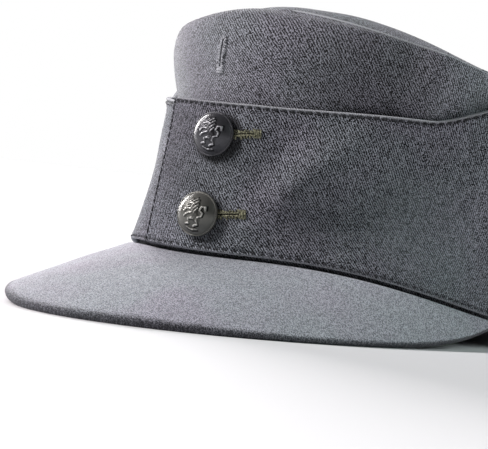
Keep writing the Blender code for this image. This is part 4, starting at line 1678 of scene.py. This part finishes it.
@dataclass
class Peak:
    """The stiffened peak: a level tuck under the rim, then a bulged slope to a firm edge."""

    finish: WoolCloth
    thickness: float = 0.0036
    length: float = 0.0644
    half_width: float = 0.0848
    end_back: float = 0.0270
    fall_front: float = 0.0252
    droop_left: float = 0.0091
    droop_right: float = 0.0004
    bulge: float = 0.0005
    fall_power: float = 0.69
    end_power: int = 20
    end_share: float = 0.985
    end_crowding: float = 0.45
    standoff: float = 0.0008
    columns: int = 300
    unevenness: float = 0.00016
    root_calm: tuple[float, float] = (0.006, 0.020)
    root_steps: int = 5
    edge_steps: int = 9
    edge_squareness: float = 2.3

    # First and last place across the peak and how many, and the last places before its edge
    place_runs: tuple[tuple[float, float, int], ...] = ((0.0026, 0.0080, 8), (0.0090, 0.0584, 50))
    last_places: tuple[float, ...] = (0.0598, 0.0610, 0.0619)

    def end_angle(self) -> float:
        """Angle round the rim at which the peak ends on each side."""
        return math.acos(self.end_back / (SHAPE.rim_length / 2.0))

    def edge(self, share: Array) -> Array:
        """Outer edge: half an ellipse in plan that falls to the front and droops at the sides.

        Args:
            share: Place across the peak, from -1 to 1.

        Returns:
            Points of the edge.
        """
        turn = share * math.pi / 2.0
        x = self.half_width * np.sin(turn)
        y = -self.end_back - (SHAPE.rim_length / 2.0 + self.length - self.end_back) * np.cos(turn)
        front = np.clip(np.cos(turn), 0.0, 1.0)
        droop = np.where(share > 0.0, self.droop_left, self.droop_right)
        fall = (self.fall_front + droop * np.sin(turn) ** 2) * front**self.fall_power
        twist = SHAPE.rim_twist * x / (SHAPE.rim_width / 2.0)
        z = SHAPE.level_rim(share * self.end_angle()) + twist - self.thickness / 2.0 - fall
        return np.stack((x, y, z), -1)

    def middle(self, share: Array, place: Array) -> Array:
        """Middle of the peak's thickness.

        Args:
            share: Place across the peak, from -1 to 1.
            place: Share of the way from its inner edge to its outer one.

        Returns:
            Points of the middle surface.
        """
        t = share * self.end_angle()
        root = SHAPE.wall(t, np.float64(0.0))
        root[..., 2] = SHAPE.rim(t) - SHAPE.gap - self.thickness / 2.0
        way = SHAPE.outward(t)
        inner = root - way * SHAPE.crown_cloth
        outer = root + way * (SHAPE.gap + SHAPE.flap_cloth + self.standoff)
        taper = np.sqrt(1.0 - np.abs(share) ** self.end_power * self.end_share)[..., None]
        edge = outer + (self.edge(share) - outer) * taper
        tuck = (SHAPE.crown_cloth + SHAPE.gap + SHAPE.flap_cloth + self.standoff) / self.length
        place = place[..., None]
        level = np.clip(place / tuck, 0.0, 1.0)
        slope = np.clip((place - tuck) / (1.0 - tuck), 0.0, 1.0)
        rise = self.bulge * np.cos(share * math.pi / 2.0)[..., None] * 4.0 * slope * (1.0 - slope)
        return inner + (outer - inner) * level + (edge - outer) * slope + rise * UP

    def build(self) -> Piece:
        """Make the peak, with a firm edge that is squarer than a half circle.

        Returns:
            The piece.
        """
        across = np.linspace(-1.0, 1.0, self.columns)
        share = across + self.end_crowding * (np.sin(across * math.pi / 2.0) - across)
        radius = self.thickness / 2.0
        root_tip, root_half = rounded_edge(radius, self.root_steps)
        tip, half = rounded_edge(radius, self.edge_steps, self.edge_squareness)
        flat = [np.linspace(*run) for run in self.place_runs] + [self.last_places]
        flat = np.concatenate(flat)
        place = np.concatenate((root_tip, flat, self.length - tip[::-1]))[::-1, None]
        thick = np.concatenate((root_half, np.full(len(flat), radius), half[::-1]))[::-1]
        middle = self.middle(share[None, :], place / self.length * np.ones_like(share))
        way = normals_of(middle, False)
        waves = soft_waves(middle[..., 0], middle[..., 1], self.unevenness, seed=12)
        middle = middle + way * (waves * smoothstep(*self.root_calm, place))[..., None]
        outer, inner = skins(middle, way, thick[:, None, None])
        rim = (self.length - place) * np.ones_like(share)
        piece = make_sheet("peak_cloth", outer, inner, False, middle[..., :2], {"from_rim": rim})
        return dress(piece, self.finish.material(), "peak_cloth", "peak")


@dataclass
class Button:
    """A domed metal button with a rounded rim, a struck beast over a ground line, and a shank."""

    name: str
    height: float
    slot: str
    finish: PaintedButtonMetal
    diameter: float = 0.0160
    dome: float = 0.0045
    rim: float = 0.0013
    lift: float = 0.0014
    relief: float = 0.00055
    figure_scale: float = 1.03
    figure_girth: float = 1.12
    figure_shift: tuple[float, float] = (0.14, -0.01)
    chasing: float = 0.20
    dome_share: float = 0.93
    offset: float = 0.0065
    turn: float = math.radians(9.0)
    rings: int = 96
    spokes: int = 200
    first_ring: float = 0.006
    hollow_reach: float = 0.94
    hollow_gain: float = 1.6
    rim_wear_and_highlight: float = 0.75

    # Radius as a share of the button's, and height as a share of the rim's: rim, edge and back
    rim_section: tuple[tuple[float, float], ...] = (
        *((0.938, 0.99), (0.948, 1.02), (0.960, 1.05), (0.974, 1.03), (0.987, 0.95)),
        *((0.996, 0.78), (1.000, 0.50), (0.995, 0.20), (0.975, 0.04), (0.945, 0.00)),
    )

    # Radius as a share of the button's, and depth in metres: flat back, and shank into the cloth
    shank_section: tuple[tuple[float, float], ...] = (
        *((0.300, 0.0), (0.105, 0.0001), (0.100, 0.0008), (0.100, 0.0038)),
    )

    # Part, start x and y, end x and y, start and end half width, height: shares of the radius
    figure: tuple[tuple, ...] = (
        ("rump", 0.12, -0.22, 0.02, 0.05, 0.150, 0.130, 0.55),
        ("chest", 0.02, 0.05, -0.10, 0.30, 0.140, 0.150, 0.60),
        ("head", -0.10, 0.42, -0.21, 0.46, 0.110, 0.080, 0.72),
        ("muzzle", -0.24, 0.44, -0.37, 0.37, 0.052, 0.036, 1.00),
        ("jaw", -0.20, 0.33, -0.32, 0.27, 0.034, 0.030, 0.90),
        ("ear", -0.18, 0.60, -0.28, 0.50, 0.034, 0.030, 1.00),
        ("first lock", 0.00, 0.64, -0.13, 0.52, 0.038, 0.032, 1.05),
        ("second lock", 0.09, 0.55, -0.04, 0.40, 0.038, 0.032, 1.05),
        ("third lock", 0.13, 0.40, 0.00, 0.24, 0.038, 0.032, 1.00),
        ("fourth lock", 0.15, 0.24, 0.04, 0.10, 0.036, 0.030, 0.95),
        ("upper foreleg", -0.14, 0.20, -0.40, 0.17, 0.048, 0.042, 0.95),
        ("upper forepaw", -0.40, 0.17, -0.48, 0.06, 0.046, 0.050, 1.05),
        ("lower foreleg", -0.10, 0.04, -0.34, -0.05, 0.046, 0.040, 0.90),
        ("lower forepaw", -0.34, -0.05, -0.43, -0.15, 0.044, 0.048, 1.00),
        ("front thigh", 0.00, -0.20, -0.22, -0.26, 0.070, 0.046, 0.85),
        ("front shin", -0.22, -0.26, -0.20, -0.42, 0.044, 0.038, 0.85),
        ("front hind paw", -0.20, -0.44, -0.36, -0.47, 0.046, 0.042, 1.05),
        ("rear thigh", 0.14, -0.24, 0.18, -0.42, 0.080, 0.048, 0.75),
        ("rear hind paw", 0.18, -0.46, 0.02, -0.54, 0.046, 0.042, 1.05),
        ("tail root", 0.20, -0.16, 0.34, -0.10, 0.038, 0.036, 0.95),
        ("tail bend", 0.34, -0.10, 0.38, 0.06, 0.036, 0.036, 1.00),
        ("tail back", 0.38, 0.06, 0.25, 0.15, 0.036, 0.036, 1.00),
        ("tail rise", 0.25, 0.15, 0.29, 0.32, 0.036, 0.038, 1.00),
        ("tail curl", 0.29, 0.32, 0.43, 0.34, 0.038, 0.040, 1.05),
        ("tail tuft", 0.43, 0.34, 0.46, 0.18, 0.042, 0.034, 1.05),
        ("ground left", -0.30, -0.62, -0.10, -0.70, 0.032, 0.038, 0.90),
        ("ground right", -0.10, -0.70, 0.14, -0.67, 0.038, 0.032, 0.90),
    )

    def figure_height(self, x: Array, y: Array) -> Array:
        """Height of the struck figure, as a share of the relief.

        Each part is a rounded bar between two points: its height is its own times the root of
        1 less the square of the distance from its line over its half width. The highest part
        counts at each point, and a product of two slow sines chases tufts into it.

        Args:
            x: Place across the button, as a share of its radius.
            y: Place up the button.

        Returns:
            Height, from 0 to about 1.
        """
        x = (x - self.figure_shift[0]) / self.figure_scale
        y = (y - self.figure_shift[1]) / self.figure_scale
        total = np.zeros_like(x)
        for _, x0, y0, x1, y1, w0, w1, high in self.figure:
            dx, dy = x1 - x0, y1 - y0
            along = np.clip(((x - x0) * dx + (y - y0) * dy) / (dx * dx + dy * dy), 0.0, 1.0)
            away = np.hypot(x - x0 - along * dx, y - y0 - along * dy)
            width = (w0 + (w1 - w0) * along) * self.figure_girth
            total = np.maximum(total, high * np.sqrt(np.clip(1.0 - (away / width) ** 2, 0.0, 1.0)))
        tufts = np.sin(34.0 * x + 9.0 * y) * np.sin(31.0 * y - 12.0 * x + 0.8)
        return total * (1.0 + self.chasing * tufts)

    def frame(self) -> tuple[Array, Array]:
        """Where the button sits on the front flap.

        Returns:
            The place of its back, and its three directions: right, up and out.
        """
        t = np.array(float(SHAPE.angle_of(self.offset)))
        flap = Flap(Side.LEFT)
        foot = flap.surface(t, np.array(self.height) - flap.bottom_height(t))
        way = SHAPE.outward(t)
        c, s = math.cos(self.turn), math.sin(self.turn)
        out = np.array((way[0] * c - way[1] * s, way[0] * s + way[1] * c, 0.0))
        right = np.cross(UP, out)
        return foot + way * self.lift, np.stack((right, np.cross(out, right), out))

    def build(self) -> Piece:
        """Make the button as one turned body: dome with relief, rim, edge, back and shank.

        The face is a polar grid. Its height is a sphere's cap under the figure, and the rounded
        rim, the edge, the flat back and the shank down into the cloth follow as more rings. A
        point closes each end.

        Returns:
            The piece.
        """
        radius = self.diameter / 2.0
        cap = radius * self.dome_share
        sphere = (cap**2 + self.dome**2) / (2.0 * self.dome)
        r = np.linspace(self.first_ring, 1.0, self.rings)[:, None] * cap
        spoke = np.linspace(0.0, 2.0 * math.pi, self.spokes, endpoint=False)[None, :]
        x, y = r * np.cos(spoke) / radius, r * np.sin(spoke) / radius
        raised = self.figure_height(x, y)
        near = self.figure_height(x * self.hollow_reach, y * self.hollow_reach)
        base = self.rim + self.dome + np.sqrt(sphere**2 - r**2) - sphere
        rim, shank = np.array(self.rim_section), np.array(self.shank_section)
        low = np.concatenate((rim * (radius, self.rim), shank * (radius, -1.0)))
        ring_r = np.concatenate((r, low[:, :1]))
        ring_z = np.concatenate((base + self.relief * raised, low[:, 1:] * np.ones_like(spoke)))
        local = np.stack((ring_r * np.cos(spoke), ring_r * np.sin(spoke), ring_z), -1)
        top = UP * (base[0, 0] + self.relief * raised[0].mean())
        points = np.concatenate((local.reshape(-1, 3), top[None], UP[None] * low[-1, 1]))
        rows, columns = quad_corners(len(local) - 1, self.spokes)
        quads = (rows * self.spokes + columns % self.spokes)[:, ::-1]
        ring = np.arange(self.spokes)
        ahead, end = (ring + 1) % self.spokes, (len(local) - 1) * self.spokes
        tips = np.full(self.spokes, local[..., 0].size)
        upper = np.column_stack((tips, ring, ahead))
        lower = np.column_stack((tips + 1, end + ahead, end + ring))
        # The paint is rubbed off the figure and the top of the rim, which also carry a painted
        # highlight, and painted shade lies beside the figure
        rim_top, rim_top_width = 2.6, 1.3
        rubbed_paint_and_highlight = np.zeros((len(low), self.spokes))
        ridge = hill(np.arange(len(rim))[:, None], rim_top, rim_top_width)
        rubbed_paint_and_highlight[: len(rim)] = self.rim_wear_and_highlight * ridge
        rubbed_and_highlit = np.concatenate((np.clip(raised, 0, 1), rubbed_paint_and_highlight)).ravel()
        sunk = np.clip(1.0 - raised, 0, 1) * np.clip(near * self.hollow_gain, 0, 1)
        sunk = np.concatenate((sunk, np.zeros_like(rubbed_paint_and_highlight))).ravel()
        marks = {"raised": np.append(rubbed_and_highlit, (0.0, 0.0)), "sunk": np.append(sunk, (0.0, 0.0))}
        place, ways = self.frame()
        faces = [quads, np.concatenate((upper, lower))]
        points = REST.place(place + points @ ways)
        piece = make_mesh(f"{self.name}_struck", points, faces, None, marks)
        return dress(piece, self.finish.material(), self.slot, self.name)


@dataclass
class WorkedButtonhole:
    """A slit whose edges are covered with close stitches, with a bar across one end.

    Places on the cloth are given as a distance round the cap and a height, and a surface
    function turns them into points. The loop runs along one edge of the slit, round its end
    and back along the other.
    """

    name: str
    slit: Slit
    surface: Surface
    thread: bpy.types.Material
    slot: str
    half_gap: float = 0.00042
    bite: float = 0.00105
    pitch: float = 0.00092
    thread_radius: float = 0.00033
    bar_count: int = 4
    bar_half: float = 0.00175
    bar_pitch: float = 0.00056
    stand: float = 1.3
    skew_share: float = 0.35
    bite_spread: float = 0.26
    skew_spread: float = 0.45
    stand_spread: float = 0.25
    bar_spread: float = 0.12
    places: int = 7
    knot_places: int = 5
    bar_places: int = 9
    seed: int = 17

    def on_cloth(self, a: Array, b: Array) -> tuple[Array, Array]:
        """Points on the cloth and the ways out of it, from steps round and up the surface.

        Args:
            a: Distance along the slit from its middle.
            b: Distance across it.

        Returns:
            Points and unit directions.
        """
        c, s, step = math.cos(self.slit.lean), math.sin(self.slit.lean), 0.0004
        girth, rise = self.slit.u + a * c - b * s, self.slit.v + a * s + b * c
        t = SHAPE.angle_at(girth)
        points = self.surface(t, rise)
        right = self.surface(SHAPE.angle_at(girth + step), rise) - points
        up = self.surface(t, rise + step) - points
        return points, unit(np.cross(right, up))

    def loop(self) -> tuple[Array, Array, Array]:
        """The slit's middle line, walked along one edge, round the end and back along the other.

        Returns:
            Place along the slit, and the two parts of the direction away from it, at each stitch.
        """
        straight = self.slit.length - 2.0 * self.half_gap
        round_end = math.pi * (self.half_gap + self.bite * 0.5)
        total = 2.0 * straight + round_end
        count = int(total / self.pitch)
        s = (np.arange(count) + 0.5) * total / count
        angle = math.pi * (np.clip((s - straight) / round_end, 0.0, 1.0) - 0.5)
        a = np.minimum(np.minimum(s, total - s), straight)
        a = a - self.slit.length / 2.0 + self.half_gap
        return a, np.cos(angle), np.sin(angle)

    def build(self) -> Piece:
        """Make the threads: one over the edge at each step, a ridge of knots, and the bar.

        Returns:
            The piece.
        """
        chance = np.random.default_rng(self.seed)
        a, away_a, away_b = self.loop()
        reach = np.linspace(0.0, 1.0, self.places)[None, :]
        jitter = np.clip(chance.normal(0.0, 1.0, (len(a), 3, 1)), -1.8, 1.8)
        out_to = self.half_gap + self.bite * (1.0 + self.bite_spread * jitter[:, 0]) * reach
        skew = self.skew_share + self.skew_spread * jitter[:, 1]
        skew = self.pitch * skew * (reach - 0.5)
        path_a = a[:, None] + away_a[:, None] * out_to - away_b[:, None] * skew
        path_b = away_b[:, None] * out_to + away_a[:, None] * skew
        points, out = self.on_cloth(path_a, path_b)
        bow = np.sin(np.linspace(0.06, 0.94, self.places) * math.pi) ** 0.6
        lift = self.thread_radius * self.stand * (1.6 * bow - 0.55)
        lift = lift * (1.0 + self.stand_spread * jitter[:, 2])
        radius = self.thread_radius * (0.75 + 0.25 * bow)
        over_edge = strands(points + out * lift[..., None], out, radius)
        points, quads = join_meshes([over_edge, self.knots(a, away_a, away_b), self.bar(chance)])
        return dress(make_mesh(self.name, REST.place(points), [quads]), self.thread, self.slot)

    def knots(self, a: Array, away_a: Array, away_b: Array) -> Mesh:
        """Ridge of knots along the slit's edge: a thread whose radius swells at each stitch.

        Args:
            a: Place along the slit at each stitch.
            away_a: Direction away from the slit, its part along it.
            away_b: Its part across it.

        Returns:
            Points and quads.
        """
        fine = np.linspace(0, len(a) - 1, len(a) * self.knot_places)
        line = [np.interp(fine, np.arange(len(a)), values) for values in (a, away_a, away_b)]
        inset = self.half_gap + self.thread_radius * 0.2
        points, out = self.on_cloth(line[0] + line[1] * inset, line[2] * inset)
        swell = 0.75 + 0.35 * np.cos(2.0 * math.pi * fine) ** 2
        points = points + out * self.thread_radius * 1.15
        return strands(points[None], out[None], self.thread_radius * swell)

    def bar(self, chance: np.random.Generator) -> Mesh:
        """Bar of parallel threads across the slit's first end, each bowed as a half circle.

        Args:
            chance: Source of the threads' small shifts.

        Returns:
            Points and quads.
        """
        number = np.arange(self.bar_count)[:, None]
        at = -self.slit.length / 2.0 - (number - 0.8) * self.bar_pitch
        reach = np.linspace(-1.0, 1.0, self.bar_places)
        shift = chance.normal(0.0, self.bar_pitch * self.bar_spread, (self.bar_count, 1))
        points, out = self.on_cloth(at + shift + 0.0 * reach, self.bar_half * reach + shift)
        bow = np.sqrt(1.0 - reach**2)
        points = points + out * (self.thread_radius * (1.9 * bow - 0.6))[:, None]
        return strands(points, out, self.thread_radius * (0.6 + 0.45 * bow))


# Studio


@dataclass(frozen=True)
class SoftLight:
    """A large soft light far off, so that it falls on the cap and the whole floor alike."""

    name: str
    azimuth: float
    elevation: float
    strength: float
    colour: str = "#FFFFFF"
    spread: float = 35.0

    def build(self) -> Piece:
        """Make the light and turn it to the cap.

        Returns:
            The light.
        """
        way = way_to(self.azimuth, self.elevation)
        data = bpy.data.lights.new(self.name, "SUN")
        data.angle = math.radians(self.spread)
        data.energy = self.strength
        data.color = linear(self.colour)[:3]
        lamp = bpy.data.objects.new(self.name, data)
        lamp.rotation_mode = "QUATERNION"
        lamp.location = way
        lamp.rotation_quaternion = way.to_track_quat("Z", "Y")
        bpy.context.scene.collection.objects.link(lamp)
        return lamp


@dataclass
class Studio:
    """Pale floor, white surroundings, and soft lights from the upper left and from behind."""

    floor: PaleFloor = field(default_factory=PaleFloor)
    floor_half: float = 40.0
    white: str = "#FFFFFF"
    glow: float = 0.012
    lights: tuple[SoftLight, ...] = (
        SoftLight("front_light", -40.0, 36.0, 3.45, "#FFFAFC", 14.0),
        SoftLight("side_light", -118.0, 16.0, 5.6, "#FFFBFC"),
        SoftLight("back_light", 140.0, 28.0, 1.8, "#EFFDFB"),
    )

    def build(self) -> None:
        """Make the floor, the surroundings and the lights.

        The surroundings look white, and as a light they only fill the shadows.
        """
        h = self.floor_half
        corners = np.array(((-h, -h, 0.0), (h, -h, 0.0), (h, h, 0.0), (-h, h, 0.0)))
        floor = make_mesh("floor", corners, [np.array(((0, 1, 2, 3),))])
        floor.data.materials.append(self.floor.material())
        world = bpy.data.worlds.new("white_surroundings")
        world.use_nodes = True
        seen = add_node(world.node_tree, "ShaderNodeLightPath", output="Is Camera Ray")
        strength = add_node(world.node_tree, RANGE, {0: seen, 3: self.glow, 4: 1.0})
        around = world.node_tree.nodes["Background"]
        set_inputs(world.node_tree, around, {0: linear(self.white), 1: strength})
        bpy.context.scene.world = world
        for light in self.lights:
            light.build()
        bpy.context.scene.view_settings.view_transform = "Standard"
        bpy.context.scene.view_settings.look = "None"


# Scene

# Heights of the buttons' middles and of the crown's buttonhole on the worn cap
UPPER_BUTTON = 0.0438
LOWER_BUTTON = 0.0149
CROWN_BUTTONHOLE = 0.0738

# Length and lean of the flap's buttonholes, and how far round from the slit its stitches sit
BUTTONHOLE = (0.0136, math.radians(6.5))
STITCHES_AHEAD = 0.0004

# Painted shade at the flap's front corner and in its middle, painted light low on its side, painted
# light on the crown's front and painted shade on the crown's side
FLAP_PAINTED_SHADE_AND_LIGHT = (
    Patch(-0.0040, 0.0360, 0.010, 0.018, 0.32),
    Patch(0.0400, 0.0200, 0.006, 0.014, 0.16),
    Patch(0.0810, 0.0200, 0.010, 0.018, 0.14, "#A8B6B9"),
)
CROWN_PAINTED_SHADE_AND_LIGHT = (
    Patch(-0.0200, 0.0700, 0.010, 0.026, 0.12, "#B2B4B9"),
    Patch(0.0530, 0.0720, 0.012, 0.022, 0.27),
)

# Painted shadow that each button casts on the wool under it: its place beside the button's
# middle, its radius and fade, and its share under the upper and the lower button
BUTTON_SHADOW_SHIFT = (0.0010, -0.0012)
BUTTON_SHADOW_SIZE = (0.0079, 0.0022)
BUTTON_SHADOW_SHARE = (0.80, 0.50)


def main() -> None:
    """Build the camera, the studio and the cap's pieces in order."""
    logging.basicConfig(level=logging.INFO, format="%(name)s %(message)s")
    PhotoCamera().build()
    Studio().build()

    flap = Flap(Side.LEFT)
    buttons = (
        Button(
            "button_upper",
            UPPER_BUTTON,
            "button_metal",
            PaintedButtonMetal("blue_grey_button_paint", "#4C4C50", "#DCDCE0", "#060607"),
        ),
        Button(
            "button_lower",
            LOWER_BUTTON,
            "button_metal_worn",
            PaintedButtonMetal("olive_grey_button_paint", "#70706B", "#E6E5DE", "#0A0A08"),
        ),
    )
    button_t = np.array(float(SHAPE.angle_of(Button.offset)))
    button_u, button_low = float(SHAPE.girth(button_t)), float(flap.bottom_height(button_t))
    length, lean = BUTTONHOLE
    holes, patches = [], list(FLAP_PAINTED_SHADE_AND_LIGHT)
    for button, shadow_share in zip(buttons, BUTTON_SHADOW_SHARE):
        rise = button.height - button_low
        middle = (button_u + length / 2.0 * math.cos(lean), rise + length / 2.0 * math.sin(lean))
        holes.append(Slit(*middle, lean, length))
        # A painted shadow below and to the right of the button
        place = (button_u + BUTTON_SHADOW_SHIFT[0], rise + BUTTON_SHADOW_SHIFT[1])
        patches.append(Patch(*place, *BUTTON_SHADOW_SIZE, shadow_share))
    crown_slit = Slit(
        u=-0.0017,
        v=CROWN_BUTTONHOLE - float(SHAPE.rim(np.array(0.0))),
        lean=math.radians(83.0),
        length=0.0108,
        width=0.0007,
    )

    # The crown's and the top's twill is a little paler than the flap's, which is painted light
    twill = WoolCloth("grey_wool_twill_top", Weave.TWILL, "#0A0B0D", "#A6A8B1", sheen=0.18)
    top_finish = replace(twill, rib_lean=math.radians(-20.0))
    crown_finish = replace(
        twill,
        name="grey_wool_twill_crown",
        rib_lean=math.radians(-48.0),
        slits=(crown_slit,),
        patches=CROWN_PAINTED_SHADE_AND_LIGHT,
        # Pale line of rubbed pile and painted highlight along the seam ridge
        worn_and_highlit_edge="from_ridge",
        wear_and_highlight_share=1.0,
        # Painted shade in the crease at the rim under the flap
        shaded_edge="from_hem",
        sheen=0.24,
    )
    right_finish = WoolCloth(
        "grey_wool_twill_flap",
        Weave.TWILL,
        "#0A0B0D",
        "#A0A2AB",
        stitch_lines=(StitchLine("from_top"), StitchLine("from_base", shade=0.28)),
        # Pale line of rubbed pile and painted highlight along the folds
        worn_and_highlit_edge="from_fold",
    )
    left_finish = replace(
        right_finish,
        name="grey_wool_twill_flap_front",
        stitch_lines=(*right_finish.stitch_lines, StitchLine("from_end", runs_up=True)),
        slits=tuple(holes),
        patches=tuple(patches),
    )
    peak_finish = WoolCloth(
        "grey_milled_wool",
        Weave.MILLED,
        "#797A80",
        "#C0C1CA",
        relief_mm=0.15,
        rib_mm=0.7,
        rib_lean=0.0,
        # Painted shade on the peak's downturned edge band
        shaded_edge="from_rim",
        spread=(0.33, 0.69),
    )
    seam_thread = SewingThread("dark_grey_sewing_thread", "#1B1C1F", "#4A4B50").material()
    hole_thread = SewingThread("olive_buttonhole_thread", "#191A12", "#A6A589").material()
    crown_thread = SewingThread("grey_buttonhole_thread", "#6A6B70", "#D2D4DA").material()

    crown = Crown(crown_finish, top_finish)
    crown.build()
    Flap(Side.RIGHT, right_finish, seam_thread).build()
    Flap(Side.LEFT, left_finish, seam_thread).build()
    Peak(peak_finish).build()
    for button in buttons:
        button.build()
    for name, slit in zip(("upper", "lower"), holes):
        WorkedButtonhole(
            f"buttonhole_{name}_stitching",
            replace(slit, u=slit.u + STITCHES_AHEAD, lean=math.pi + slit.lean),
            flap.surface,
            hole_thread,
            "flap_cloth",
        ).build()
    WorkedButtonhole(
        "crown_buttonhole_stitching",
        crown_slit,
        crown.surface,
        crown_thread,
        "crown_cloth",
        half_gap=0.00055,
        bite=0.00090,
        pitch=0.00085,
        thread_radius=0.00036,
        stand=1.4,
    ).build()


if __name__ == "__main__":
    main()
